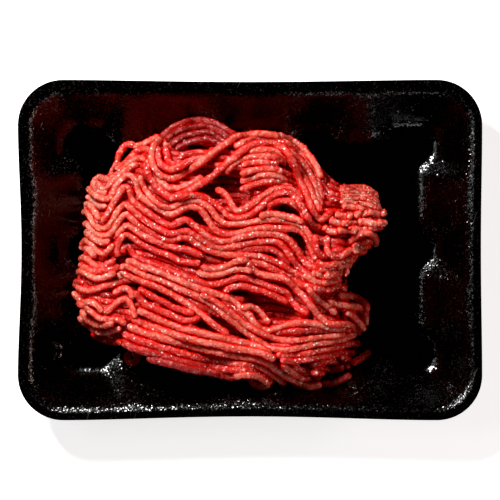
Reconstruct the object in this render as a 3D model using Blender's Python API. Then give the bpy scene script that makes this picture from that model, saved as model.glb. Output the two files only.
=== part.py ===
"""Black foam tray with a heap of minced meat in it, in metres, +Z up.

The origin is the middle of the tray's underside, +X runs along the tray and +Y across it. The tray is one
thermoformed shell: a rounded lip, walls with pressed-in panels between flutes, and a flat floor. The heap is
one solid out to its uneven outline. It leans on the walls, a hair's breadth clear of them.
"""

import math

import bmesh
import bpy

MM = 0.001

# The tray's driving dimensions.
TRAY_LENGTH = 225 * MM
TRAY_WIDTH = 165 * MM
TRAY_HEIGHT = 28 * MM
FOAM = 3.2 * MM
CORNER_RADIUS = 22 * MM
# How far the middle of each side is drawn in at the lip.
WAIST_RIGHT = 0.6 * MM
WAIST_LEFT = 1.7 * MM
WAIST_BACK = 1.0 * MM
WAIST_FRONT = 1.8 * MM

# The lip: a flat band outside the wall, turned down at its edge.
LIP_WIDTH = 6 * MM
LIP_DROP = 1.9 * MM
LIP_EDGE = 2.6 * MM  # height of the cut edge

# The floor's outline at the corners and flutes, and how far the panels are pushed in from it.
FLOOR_LENGTH = 188 * MM
FLOOR_WIDTH = 124 * MM
FLOOR_RADIUS = 10 * MM
PANEL_PUSH = 7.7 * MM
PANEL_NARROWING = 8 * MM  # each end of a panel closes in by this much at the wall's top
PANEL_BLEND = 12 * MM  # length of the soft step from a flute to a panel
FILLET_REACH = 6 * MM
FILLET_SHARE = 0.25  # share of the wall's height that the floor fillet takes
ROLL_REACH = 4.5 * MM  # how far the roll under the lip reaches onto it
ROLL_SHARE = 0.15  # share of the wall's height that the roll under the lip takes

# Where the panels lie, as distances from the middle of their side, at the floor.
END_PANEL = (8 * MM, 43 * MM)  # two on each short side, with one flute between them
MIDDLE_PANEL_END = 22.5 * MM  # one in the middle of each long side
OUTER_PANEL = (43 * MM, 68 * MM)  # one towards each end of a long side

# The heap of meat.
HEAP_MIDDLE = (-13.5 * MM, -1 * MM)
HEAP_PEAK = 37.5 * MM  # height of its top above the table, without the folds
HEAP_EDGE = 6 * MM  # how far its edge stands above the tray
HEAP_SHOULDER = 30 * MM  # width of its rounded side, from the edge to where it levels off
HEAP_GAP = 0.35 * MM  # clear of the foam all over
# Reach of the heap from its middle, every 15 degrees from +X turning towards +Y.
HEAP_REACH = [r * MM for r in (71, 81, 66, 64, 66, 62, 62, 69, 66, 66, 73, 70,
                               71, 77, 76, 70, 62, 58, 59, 65, 76, 78, 79, 61)]

# How finely the curved shapes are faceted.
SHORT_STEPS = 24
LONG_STEPS = 34
CORNER_STEPS = 7
FILLET_STEPS = 4
HEAP_SPOKES = 72
HEAP_RINGS = 13


def soft_step(value, edge):
    """0 well before the edge and 1 well past it."""
    t = min(1.0, max(0.0, (value - edge) / PANEL_BLEND + 0.5))
    return t * t * (3 - 2 * t)


def end_panels(along, level):
    """Share of the full push, at this distance along a short side."""
    close = PANEL_NARROWING * level
    place = abs(along)
    return soft_step(place, END_PANEL[0] + close) - soft_step(place, END_PANEL[1] - close)


def side_panels(along, level):
    """Share of the full push, at this distance along a long side."""
    close = PANEL_NARROWING * level
    place = abs(along)
    middle = 1 - soft_step(place, MIDDLE_PANEL_END - close)
    outer = soft_step(place, OUTER_PANEL[0] + close) - soft_step(place, OUTER_PANEL[1] - close)
    return middle + outer


def section(half_length, half_width, radius, z, waist=0.0, push=0.0, level=1.0):
    """One level of the tray, as the numbers that its ring is made from."""
    return (half_length, half_width, radius, z, waist, push, level)


def between(a, b, share):
    """The section this share of the way from a to b."""
    return tuple(p + (q - p) * share for p, q in zip(a, b))


def grown(a, out, up=0.0):
    """The section moved outwards and up by these distances."""
    return (a[0] + out, a[1] + out, a[2] + out, a[3] + up) + a[4:]


def rounded(a, corner, b, steps):
    """Sections that curve from a to b and would meet at the corner."""
    found = []
    for i in range(steps + 1):
        t = i / steps
        found.append(between(between(a, corner, t), between(corner, b, t), t))
    return found


def ring(sec):
    """The closed outline of a section, as points that go once round the tray."""
    half_length, half_width, radius, z, waist, push, level = sec
    run_x = half_length - radius
    run_y = half_width - radius
    points = []

    def end_wall(sign):
        middle = waist * (WAIST_RIGHT if sign > 0 else WAIST_LEFT)
        for i in range(SHORT_STEPS):
            y = sign * run_y * (2 * i / SHORT_STEPS - 1)
            drawn = middle * (1 - (y / run_y) ** 2) ** 2 + push * end_panels(y, level)
            points.append((sign * (half_length - drawn), y, z))

    def side_wall(sign):
        middle = waist * (WAIST_BACK if sign > 0 else WAIST_FRONT)
        for i in range(LONG_STEPS):
            x = sign * run_x * (1 - 2 * i / LONG_STEPS)
            drawn = middle * (1 - (x / run_x) ** 2) ** 2 + push * side_panels(x, level)
            points.append((x, sign * (half_width - drawn), z))

    def corner(sign_x, sign_y, start):
        for i in range(CORNER_STEPS):
            turn = math.radians(start + 90 * i / CORNER_STEPS)
            points.append((sign_x * run_x + radius * math.cos(turn),
                           sign_y * run_y + radius * math.sin(turn), z))

    end_wall(1)
    corner(1, 1, 0)
    side_wall(1)
    corner(-1, 1, 90)
    end_wall(-1)
    corner(-1, -1, 180)
    side_wall(-1)
    corner(1, -1, 270)
    return points


# The levels that the tray's faces run between. The wall's top and foot are where its straight slope would
# meet the lip and the floor; the foam's own thickness sets where the outer faces meet.
LIP_OUTER = section(TRAY_LENGTH / 2, TRAY_WIDTH / 2, CORNER_RADIUS, TRAY_HEIGHT, 1.0)
WALL_TOP = grown(LIP_OUTER, -LIP_WIDTH)
WALL_FOOT = section(FLOOR_LENGTH / 2, FLOOR_WIDTH / 2, FLOOR_RADIUS, FOAM, 0.0, PANEL_PUSH, 0.0)
MITRE = 0.45 * FOAM  # how far an outer corner lies outside its inner one on a wall of this slope


def inner_wall(top_steps):
    """Sections from the lip's crest down the inside of the wall to the floor."""
    roll = rounded(grown(WALL_TOP, ROLL_REACH), WALL_TOP, between(WALL_TOP, WALL_FOOT, ROLL_SHARE), top_steps)
    foot = rounded(between(WALL_FOOT, WALL_TOP, FILLET_SHARE), WALL_FOOT,
                   grown(WALL_FOOT, -FILLET_REACH), FILLET_STEPS)
    return roll + foot


def outer_wall():
    """Sections from the underside of the floor up the outside of the wall to the lip's cut edge."""
    foot = grown(WALL_FOOT, MITRE, -FOAM)
    top = grown(WALL_TOP, MITRE, -FOAM)
    edge = grown(LIP_OUTER, 0.0, -LIP_DROP - LIP_EDGE)
    return (rounded(grown(foot, -FILLET_REACH), foot, between(foot, top, FILLET_SHARE), FILLET_STEPS)
            + rounded(between(foot, top, 1 - ROLL_SHARE), top, between(top, edge, 0.5), 2)
            + [edge])


def lip_crown():
    """Sections over the lip, from its cut edge to where the wall's roll begins."""
    edge = grown(LIP_OUTER, 0.0, -LIP_DROP)
    shoulder = grown(LIP_OUTER, -0.15 * MM, -0.05 * MM)
    return [edge, shoulder, grown(LIP_OUTER, -0.9 * MM)]


def lofted(name, sections):
    """A closed solid skinned over the rings of these sections, with its first and last ring filled."""
    bm = bmesh.new()
    rings = [[bm.verts.new(p) for p in ring(sec)] for sec in sections]
    around = len(rings[0])
    for low, high in zip(rings, rings[1:]):
        for i in range(around):
            j = (i + 1) % around
            bm.faces.new((low[i], low[j], high[j], high[i]))
    bm.faces.new(list(reversed(rings[0])))
    bm.faces.new(rings[-1])
    bmesh.ops.recalc_face_normals(bm, faces=bm.faces)
    return finished(name, bm)


def finished(name, bm):
    """The mesh as an object that isn't in any collection yet."""
    mesh = bpy.data.meshes.new(name)
    bm.to_mesh(mesh)
    bm.free()
    return bpy.data.objects.new(name, mesh)


def plastic(name, colour, roughness):
    """A plain Principled material."""
    material = bpy.data.materials.new(name)
    material.use_nodes = True
    shader = material.node_tree.nodes["Principled BSDF"]
    shader.inputs["Base Color"].default_value = (*colour, 1.0)
    shader.inputs["Roughness"].default_value = roughness
    shader.inputs["Metallic"].default_value = 0.0
    return material


def make_tray(collection):
    """The foam tray, skinned from under its floor, over the lip and down to the floor again."""
    tray = lofted("foam_tray", outer_wall() + lip_crown() + inner_wall(3))
    tray.data.materials.append(plastic("black_foam", (0.012, 0.011, 0.011), 0.35))
    collection.objects.link(tray)
    tray.data.shade_smooth()
    tray.data.set_sharp_from_angle(angle=math.radians(40))
    return tray


def make_cavity(collection):
    """The tray's inside, HEAP_GAP clear of the foam, which the heap is cut to."""
    wall = [grown(sec, -HEAP_GAP, HEAP_GAP) for sec in inner_wall(3)]
    above = grown(wall[0], 0.0, 2 * TRAY_HEIGHT)
    cavity = lofted("cavity_cutter", [above] + wall)
    cavity.hide_render = True
    cavity.display_type = "WIRE"
    collection.objects.link(cavity)
    return cavity


def reach_towards(turn):
    """Distance from the heap's middle to its edge, on a smooth closed curve through HEAP_REACH."""
    count = len(HEAP_REACH)
    place = turn / (2 * math.pi) * count
    i = math.floor(place)
    t = place - i
    a, b, c, d = (HEAP_REACH[(i + k) % count] for k in (-1, 0, 1, 2))
    return b + 0.5 * t * (c - a + t * (2 * a - 5 * b + 4 * c - d + t * (3 * (b - c) + d - a)))


def folds(x, y):
    """Height of the soft folds in which the meat is laid, at most a few millimetres either way."""
    across = 0.34 * x + 0.94 * y
    long_fold = 2.6 * MM * math.sin(across / (10.5 * MM) + 0.6)
    zigzag = 1.1 * MM * math.sin(x / (6.5 * MM) + across / (16 * MM))
    return long_fold + zigzag


def heap_height(x, y, depth):
    """Height of the heap's top surface, at this distance in from its edge."""
    foot = FOAM + HEAP_EDGE
    short_of_level = 1 - min(1.0, depth / HEAP_SHOULDER)
    side = (1 - short_of_level ** 2.2) ** 0.6
    from_middle = math.dist((x, y), HEAP_MIDDLE)
    crown = 1 - 0.12 * (from_middle / (70 * MM)) ** 2
    tilt = 1 - 0.0012 * (x - HEAP_MIDDLE[0]) / MM
    return foot + (HEAP_PEAK - foot) * side * crown * tilt + folds(x, y) * side


def wall_lift(x, y):
    """How much higher the heap's surface lies where the wall slopes up beneath it."""
    over_x = max(0.0, abs(x) - (FLOOR_LENGTH / 2 - PANEL_PUSH))
    over_y = max(0.0, abs(y) - (FLOOR_WIDTH / 2 - PANEL_PUSH))
    return 0.5 * max(over_x, over_y)


def make_heap(collection, cavity):
    """The heap: a domed top over its uneven outline, run down into the foam and then cut to the cavity."""
    bm = bmesh.new()
    rings = []
    for k in range(1, HEAP_RINGS + 1):
        share = math.sin(0.5 * math.pi * k / HEAP_RINGS)
        spoke_ring = []
        for i in range(HEAP_SPOKES):
            turn = 2 * math.pi * i / HEAP_SPOKES
            reach = reach_towards(turn)
            x = HEAP_MIDDLE[0] + share * reach * math.cos(turn)
            y = HEAP_MIDDLE[1] + share * reach * math.sin(turn)
            z = wall_lift(x, y) + heap_height(x, y, (1 - share) * reach)
            spoke_ring.append(bm.verts.new((x, y, z)))
        rings.append(spoke_ring)
    rings.append([bm.verts.new((v.co.x, v.co.y, -FOAM)) for v in rings[-1]])
    crown = bm.verts.new((*HEAP_MIDDLE, heap_height(*HEAP_MIDDLE, HEAP_SHOULDER)))
    for i in range(HEAP_SPOKES):
        bm.faces.new((crown, rings[0][i], rings[0][(i + 1) % HEAP_SPOKES]))
    for inner, outer in zip(rings, rings[1:]):
        for i in range(HEAP_SPOKES):
            j = (i + 1) % HEAP_SPOKES
            bm.faces.new((inner[i], outer[i], outer[j], inner[j]))
    bm.faces.new(list(reversed(rings[-1])))
    bmesh.ops.recalc_face_normals(bm, faces=bm.faces)
    heap = finished("mince_heap", bm)
    heap.data.materials.append(plastic("raw_mince", (0.55, 0.06, 0.045), 0.35))
    collection.objects.link(heap)
    cut = heap.modifiers.new("lie in the tray", "BOOLEAN")
    cut.operation = "INTERSECT"
    cut.solver = "EXACT"
    cut.object = cavity
    return heap


def clear_scene():
    """Removes what the startup scene holds."""
    for obj in list(bpy.data.objects):
        bpy.data.objects.remove(obj)


def main():
    clear_scene()
    pack = bpy.data.collections.new("meat tray pack")
    cutters = bpy.data.collections.new("cutters")
    bpy.context.scene.collection.children.link(pack)
    bpy.context.scene.collection.children.link(cutters)
    make_tray(pack)
    make_heap(pack, make_cavity(cutters))


main()
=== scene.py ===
# %% [markdown]
# # A foam tray of minced meat
#
# The real object is two things: a thermoformed foam tray, and about 400 g of raw mince. The mince comes out
# of a plate with 3 mm holes as soft strands, which fold over one another as they fall into the tray.
#
# The frame holds the tray and one plain solid for the whole heap. This lesson keeps their sizes and places,
# skins the tray more finely, and lays real strands over a smaller core, one sheet of strands after another,
# in the order in which they fell.

import math

import bmesh
import bpy
import numpy as np
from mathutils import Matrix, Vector
from mathutils.bvhtree import BVHTree


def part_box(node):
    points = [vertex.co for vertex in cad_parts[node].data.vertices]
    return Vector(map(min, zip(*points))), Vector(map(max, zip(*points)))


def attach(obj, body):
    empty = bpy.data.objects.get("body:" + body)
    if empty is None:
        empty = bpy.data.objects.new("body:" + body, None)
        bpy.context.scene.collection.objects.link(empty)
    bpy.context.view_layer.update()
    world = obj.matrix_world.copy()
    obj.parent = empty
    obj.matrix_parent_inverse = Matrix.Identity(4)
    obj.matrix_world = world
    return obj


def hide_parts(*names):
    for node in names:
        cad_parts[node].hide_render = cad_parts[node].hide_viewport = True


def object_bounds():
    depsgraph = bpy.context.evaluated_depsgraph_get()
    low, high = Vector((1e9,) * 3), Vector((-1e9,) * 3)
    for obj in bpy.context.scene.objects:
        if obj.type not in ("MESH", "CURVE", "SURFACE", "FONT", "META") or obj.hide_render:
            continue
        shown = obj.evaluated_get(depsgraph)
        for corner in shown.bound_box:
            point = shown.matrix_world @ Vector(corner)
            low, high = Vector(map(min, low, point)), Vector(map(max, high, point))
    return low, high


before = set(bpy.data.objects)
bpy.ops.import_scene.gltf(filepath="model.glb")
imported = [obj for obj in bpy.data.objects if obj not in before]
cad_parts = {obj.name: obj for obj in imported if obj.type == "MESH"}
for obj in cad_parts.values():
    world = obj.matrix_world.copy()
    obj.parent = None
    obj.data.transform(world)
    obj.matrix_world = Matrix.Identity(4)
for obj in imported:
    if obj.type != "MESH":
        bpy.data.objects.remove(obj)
CAD_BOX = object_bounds()
MM = 0.001
print("frame box", [[round(v / MM, 1) for v in corner] for corner in CAD_BOX])

# %% [markdown]
# ## Helpers for making pieces
#
# The tray is a pressed sheet, and each strand is a soft rod. Both could be modelled by hand with modifiers,
# or as curves with a bevel. Here each piece is a mesh worked out with numpy and handed to Blender in one go,
# which is quick even for a hundred thousand points, and every point stays under control. A piece rides on
# the body "root", because nothing in a tray of meat moves.

# %% Make a mesh piece
def make_piece(name, points, faces, material):
    """A smooth mesh object from points in metres and faces as lists of point numbers."""
    mesh = bpy.data.meshes.new(name)
    mesh.from_pydata([tuple(p) for p in points], [], faces)
    mesh.validate()
    mesh.materials.append(material)
    mesh.shade_smooth()
    piece = bpy.data.objects.new(name, mesh)
    bpy.context.scene.collection.objects.link(piece)
    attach(piece, "root")
    return piece


def keep_values(piece, name, values):
    """Keeps one number for each point of a piece, for its finish to read."""
    piece.data.attributes.new(name, "FLOAT", "POINT").data.foreach_set("value", values)


def tube_faces(rings, around, closed=False):
    """Faces between rings of points that follow one another, each with the same number of points."""
    start = np.arange(rings if closed else rings - 1)[:, None] * around
    turn = np.arange(around)[None, :]
    following = (turn + 1) % around
    ahead = (start + around) % (rings * around)
    quads = np.stack([start + turn, start + following, ahead + following, ahead + turn], axis=-1)
    return quads.reshape(-1, 4)


print("a tube of 3 rings with 8 points each has", len(tube_faces(3, 8)), "faces")

# %% [markdown]
# ## Sums for materials
#
# A finish is easier to read as an expression, such as `1 - mask * 0.5`, than as a list of nodes and links.
# `Term` wraps a socket, and each operator adds the Math node that works it out. `Finish.node` adds any
# other node: its settings are set first, and then its sockets get numbers or links.

# %% A socket that can be used in sums
class Term:
    """A socket of a node. Sums with it add Math nodes to its finish."""

    def __init__(self, finish, socket):
        self.finish = finish
        self.socket = socket

    def math(self, operation, first, second=0.0):
        return self.finish.node("Math", {"operation": operation}, {0: first, 1: second})

    def __add__(self, other):
        return self.math("ADD", self, other)

    def __sub__(self, other):
        return self.math("SUBTRACT", self, other)

    def __rsub__(self, other):
        return self.math("SUBTRACT", other, self)

    def __mul__(self, other):
        return self.math("MULTIPLY", self, other)

    __radd__ = __add__
    __rmul__ = __mul__


# %% A material under construction
class Finish:
    """A Principled material, with short ways to add nodes to it."""

    def __init__(self, name):
        self.material = bpy.data.materials.new(name)
        self.material.use_nodes = True
        self.tree = self.material.node_tree
        self.shader = self.tree.nodes["Principled BSDF"]

    def put(self, socket, value):
        """Links a Term to the socket, or sets a plain value on it."""
        if isinstance(value, Term):
            self.tree.links.new(value.socket, socket)
        else:
            socket.default_value = value

    def node(self, kind, settings=None, sockets=None, out=0):
        """Adds a node and returns one of its outputs."""
        made = self.tree.nodes.new("ShaderNode" + kind)
        for name, value in (settings or {}).items():
            setattr(made, name, value)
        for name, value in (sockets or {}).items():
            self.put(made.inputs[name], value)
        return Term(self, made.outputs[out])

    def blend(self, mask, first, second):
        """Colour that goes from first to second as the mask goes from 0 to 1."""
        return self.node("Mix", {"data_type": "RGBA"}, {0: mask, 6: first, 7: second}, out=2)

    def step(self, value, low, high):
        """0 where the value is below low, 1 above high, and a soft step between."""
        sockets = {"Value": value, "From Min": low, "From Max": high}
        return self.node("MapRange", {"interpolation_type": "SMOOTHSTEP"}, sockets)

    def grain(self, size, detail, place):
        """Noise from 0 to 1 whose patches are about this size in metres."""
        return self.node("TexNoise", {}, {"Vector": place, "Scale": 1 / size, "Detail": detail})

    def place(self):
        """Where the point lies on the piece, in metres."""
        return self.node("TexCoord", out=3)

    def vector(self, operation, sockets):
        """Vector arithmetic."""
        return self.node("VectorMath", {"operation": operation}, sockets)

    def flecks(self, size, share, place):
        """1 in this share of cells of this size, picked at random, and 0 in the others."""
        cells = self.node("TexVoronoi", {}, {"Vector": place, "Scale": 1 / size}, out=1)
        chance = self.node("SeparateXYZ", {}, {"Vector": cells})
        return self.step(chance, 1 - share, 1 - share * 0.5)

    def facets(self, size, tilt, place, wild=0.0):
        """The surface's own direction, turned in each cell of this size, and further in a few wild ones."""
        cells = self.node("TexVoronoi", {}, {"Vector": place, "Scale": 1 / size}, out=1)
        if wild:
            rare = self.step(self.node("SeparateXYZ", {}, {"Vector": cells}, out=2), 0.8, 0.95)
            tilt = tilt * (1 + rare * wild)
        turn = self.vector("SUBTRACT", {0: cells, 1: (0.5, 0.5, 0.5)})
        turn = self.vector("SCALE", {0: turn, "Scale": tilt * 2})
        turned = self.vector("ADD", {0: self.node("NewGeometry", out=1), 1: turn})
        return self.vector("NORMALIZE", {0: turned})

    def surface(self, values):
        """Sets the shader's own sockets."""
        for name, value in values.items():
            self.put(self.shader.inputs[name], value)


print("sums and finishes are ready")

# %% [markdown]
# ## The camera
#
# The tray is shown from straight above. A long lens from nearly a metre keeps the walls on all four
# sides equally visible. A curve in the view settings closes the deepest shadows, as a dark tray asks for.

# %% Camera
LOW, HIGH = (np.array(corner) for corner in CAD_BOX)
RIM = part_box("foam_tray")[1][2]
CAMERA_HEIGHT = 900 * MM  # above the rim
VIEW_WIDTH = 241.9 * MM  # what the camera takes in at the rim

camera_data = bpy.data.cameras.new("camera")
camera_data.lens = camera_data.sensor_width * CAMERA_HEIGHT / VIEW_WIDTH
camera = bpy.data.objects.new("camera", camera_data)
camera.location = (0, 0, RIM + CAMERA_HEIGHT)
bpy.context.scene.collection.objects.link(camera)
bpy.context.scene.camera = camera
view = bpy.context.scene.view_settings
view.view_transform = "Standard"
view.look = "Medium High Contrast"
view.use_curve_mapping = True
view.curve_mapping.black_level = (0.003, 0.003, 0.003)  # the deepest shadows close up to black
view.curve_mapping.update()
print("lens", round(camera_data.lens, 1), "mm")

# %% [markdown]
# ## Lights
#
# Meat looks fresh when one lamp from the side gives every strand a bright and a dark flank. So the key light
# is a small square to the upper left, 46 degrees up, which leaves crisp shadows between the strands.
#
# Black foam shows little but what it mirrors. Three long, narrow cards stand round the tray and draw its
# rim and flutes with thin lines of light. The one to the right is the strongest and faintly warm, so that
# the right end of the heap stays red. Nothing bright hangs right over the tray, since its floor would
# mirror it. The room behind is nearly dark, and the camera alone sees a pale wall there.

# %% Lights
def soft_light(name, towards, height, distance, size, power, colour=(1, 1, 1)):
    """An area light in this direction from the tray, at these angles in degrees, facing the tray."""
    data = bpy.data.lights.new(name, "AREA")
    data.shape = "RECTANGLE"
    data.size, data.size_y = size
    data.energy = power
    data.color = colour
    light = bpy.data.objects.new(name, data)
    turn, rise = math.radians(towards), math.radians(height)
    way = Vector((math.cos(turn) * math.cos(rise), math.sin(turn) * math.cos(rise), math.sin(rise)))
    light.location = way * distance
    light.rotation_euler = way.to_track_quat("Z", "Y").to_euler()
    bpy.context.scene.collection.objects.link(light)


soft_light("key", towards=128, height=46, distance=0.75, size=(0.13, 0.13), power=6.9)
soft_light("right card", towards=-5, height=20, distance=0.9, size=(0.5, 0.08), power=2.0,
           colour=(1, 0.78, 0.72))
soft_light("front card", towards=-70, height=20, distance=0.9, size=(0.5, 0.08), power=0.7)
soft_light("left card", towards=168, height=52, distance=0.9, size=(0.3, 0.08), power=0.45)


ROOM_GLOW = 0.015
WALL_GREY = (0.9, 0.9, 0.9, 1)


def dim_room():
    """A room that is nearly dark, in front of a pale wall that only the camera sees."""
    world = bpy.data.worlds.new("dim room")
    world.use_nodes = True
    tree = world.node_tree
    room = tree.nodes["Background"]
    room.inputs["Color"].default_value = (0.9, 0.95, 1, 1)
    room.inputs["Strength"].default_value = ROOM_GLOW
    wall = tree.nodes.new("ShaderNodeBackground")
    wall.inputs["Color"].default_value = WALL_GREY
    path = tree.nodes.new("ShaderNodeLightPath")
    mix = tree.nodes.new("ShaderNodeMixShader")
    tree.links.new(path.outputs["Is Camera Ray"], mix.inputs[0])
    tree.links.new(room.outputs[0], mix.inputs[1])
    tree.links.new(wall.outputs[0], mix.inputs[2])
    tree.links.new(mix.outputs[0], tree.nodes["World Output"].inputs["Surface"])
    bpy.context.scene.world = world


dim_room()
print("lights", [light.name for light in bpy.data.lights])

# %% [markdown]
# ## The floor
#
# Under the tray lies a large sheet of white card. It glows softly by its own light, because the lamps are
# too weak to make it white, and stronger lamps would burn out the meat.

# %% Floor
FLOOR_SIDE = 6.0  # metres
FLOOR_GLOW = 0.6
CARD_WHITES = ((0.93, 0.93, 0.93, 1), (0.96, 0.96, 0.96, 1))


def pale_floor():
    """A plain white card under the tray."""
    finish = Finish("white_card")
    paper = finish.grain(3 * MM, detail=2, place=finish.place())
    finish.surface({"Base Color": finish.blend(paper, *CARD_WHITES), "Roughness": 0.8,
                    "Emission Color": (1, 1, 1, 1), "Emission Strength": FLOOR_GLOW})
    mesh = bpy.data.meshes.new("floor")
    reach = FLOOR_SIDE / 2
    corners = [(x * reach, y * reach, LOW[2]) for x, y in ((-1, -1), (1, -1), (1, 1), (-1, 1))]
    mesh.from_pydata(corners, [], [(0, 1, 2, 3)])
    mesh.materials.append(finish.material)
    floor = bpy.data.objects.new("floor", mesh)
    bpy.context.scene.collection.objects.link(floor)


pale_floor()
print("floor", FLOOR_SIDE, "m wide")

# %% [markdown]
# ## The tray
#
# A foam tray is pressed from one hot sheet: a lip that turns down, walls with flat panels between flutes,
# and a floor. It could be a box with bevels and a subdivision surface, but the flutes would then be hard to
# place. So it is a loft: rings of points, one for each level, joined by a skin. Each ring is a rounded
# rectangle whose sides are drawn in by a waist and by the panels. The frame's tray is built the same way
# from the same sizes, with far fewer points, so the two agree everywhere.

# %% Sizes of the tray
TRAY_LENGTH, TRAY_WIDTH, TRAY_HEIGHT = np.array(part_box("foam_tray")[1]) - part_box("foam_tray")[0]
FOAM = 3.2 * MM
CORNER_RADIUS = 22 * MM
WAISTS = ((0.6 * MM, 1.0 * MM), (1.7 * MM, 1.8 * MM))  # at the lip: right and back, then left and front
LIP_WIDTH = 6 * MM
LIP_DROP = 1.9 * MM  # how far the lip turns down
LIP_EDGE = 2.6 * MM  # height of its cut edge
FLOOR_LENGTH = 188 * MM
FLOOR_WIDTH = 124 * MM
FLOOR_RADIUS = 10 * MM
PANEL_PUSH = 7.7 * MM  # how far the panels are pushed in from the flutes
PANEL_NARROWING = 8 * MM  # each end of a panel closes in by this much at the wall's top
PANEL_BLEND = 12 * MM  # length of the soft step from a flute to a panel
FILLET_REACH = 6 * MM
FILLET_SHARE = 0.25  # share of the wall's height that the floor fillet takes
ROLL_REACH = 4.5 * MM
ROLL_SHARE = 0.15  # share of the wall's height that the roll under the lip takes
END_PANEL = (8 * MM, 43 * MM)  # from the middle of a short side, on both sides of its flute
MIDDLE_PANEL_END = 22.5 * MM  # one panel in the middle of a long side
OUTER_PANEL = (43 * MM, 68 * MM)  # and one towards each of its ends
print("tray", [round(v / MM, 2) for v in (TRAY_LENGTH, TRAY_WIDTH, TRAY_HEIGHT)])


# %% Panels pressed into the walls
def soft_step(value, edge):
    """0 well before the edge and 1 well past it."""
    t = np.clip((value - edge) / PANEL_BLEND + 0.5, 0, 1)
    return t * t * (3 - 2 * t)


def end_panels(along, level):
    """Share of the full push, at these distances along a short side."""
    close = PANEL_NARROWING * level
    place = np.abs(along)
    return soft_step(place, END_PANEL[0] + close) - soft_step(place, END_PANEL[1] - close)


def side_panels(along, level):
    """Share of the full push, at these distances along a long side."""
    close = PANEL_NARROWING * level
    place = np.abs(along)
    outer = soft_step(place, OUTER_PANEL[0] + close) - soft_step(place, OUTER_PANEL[1] - close)
    return 1 - soft_step(place, MIDDLE_PANEL_END - close) + outer


print("push along a short side", end_panels(np.array((0, 10, 25)) * MM, 0).round(2))


# %% Levels of the tray
def level_at(half_length, half_width, radius, z, waist=0.0, push=0.0, share=1.0):
    """One level: half sizes, corner radius, height, waist, push of the panels and share of the wall."""
    return np.array((half_length, half_width, radius, z, waist, push, share))


def grown(level, out, up=0.0):
    """The level moved outwards and up by these distances."""
    return level + np.array((out, out, out, up, 0, 0, 0))


def bend(start, corner, end, steps):
    """Levels that curve from start to end and would meet at the corner."""
    share = np.linspace(0, 1, steps + 1)[:, None]
    return list(start * (1 - share) ** 2 + 2 * corner * share * (1 - share) + end * share ** 2)


def straight(start, end, steps):
    """Levels between start and end, without either of them."""
    return [start + (end - start) * i / steps for i in range(1, steps)]


print("a bend with 4 steps has", len(bend(*np.eye(3), steps=4)), "levels")

# %% The outline of a level
SHORT_POINTS = 100  # along a short side, without the corners
LONG_POINTS = 140
ARC_POINTS = 24


def tray_ring(level):
    """The closed outline of a level: points that go once round the tray, and how stretched each one is."""
    half_length, half_width, radius, z, waist, push, share = level
    run_x = half_length - radius
    run_y = half_width - radius
    short = np.linspace(-1, 1, SHORT_POINTS + 1)[:-1] * run_y
    long = np.linspace(1, -1, LONG_POINTS + 1)[:-1] * run_x
    arc = np.radians(np.arange(ARC_POINTS) * 90 / ARC_POINTS)
    ends, sides = end_panels(short, share), side_panels(long, share)
    outline = []
    for way, (end_waist, side_waist) in zip((1, -1), WAISTS):
        end_x = half_length - waist * end_waist * (1 - (short / run_y) ** 2) ** 2 - push * ends
        side_y = half_width - waist * side_waist * (1 - (long / run_x) ** 2) ** 2 - push * sides
        for x, y in ((end_x, short), (run_x + radius * np.cos(arc), run_y + radius * np.sin(arc)),
                     (long, side_y), (-run_x - radius * np.sin(arc), run_y + radius * np.cos(arc))):
            outline.append(way * np.column_stack([x, y]))
    outline = np.concatenate(outline)
    half_stretch = np.concatenate([ends * (1 - ends), 0 * arc, sides * (1 - sides), 0 * arc])
    stretch = np.tile(half_stretch, 2) * 4 * push / PANEL_PUSH
    return np.column_stack([outline, np.full(len(outline), z)]), stretch


print("a ring has", 2 * (SHORT_POINTS + LONG_POINTS + 2 * ARC_POINTS), "points")

# %% [markdown]
# ## Black foam
#
# The tray is expanded polystyrene, black right through, with a smooth pressed skin. The skin is glossy enough
# to mirror a lamp, but small beads lie just under it, and each tilts its own patch of skin. So every
# reflection breaks up into specks. A bump would give soft dimples. Here the surface's direction is turned
# cell by cell, which gives the hard little mirrors of foam. The tilt is nearly nothing on the floor, larger
# on the walls, and largest where pressing stretched the sheet into flutes. It is less again on the flat top
# of the lip. A few wild cells tilt further. Pale specks are also painted into the colour as glints: a few
# everywhere, more on the walls and the lip, and most along the flutes.
#
# A broad bump adds the slow waves of a pressed sheet, and faint slanting scuffs show where trays in a stack
# rubbed on the walls.

# %% Foam finish
BLACK = (0.0004, 0.0002, 0.0002, 1)
# The grey of the painted glints.
PAINTED_GLINT_GREY = (0.08, 0.065, 0.06, 1)
SCUFF = (0.11, 0.10, 0.095, 1)
BEAD = 0.56 * MM
SCUFF_LENGTH = 16  # times its width
SCUFF_TURN = math.radians(65)


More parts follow.
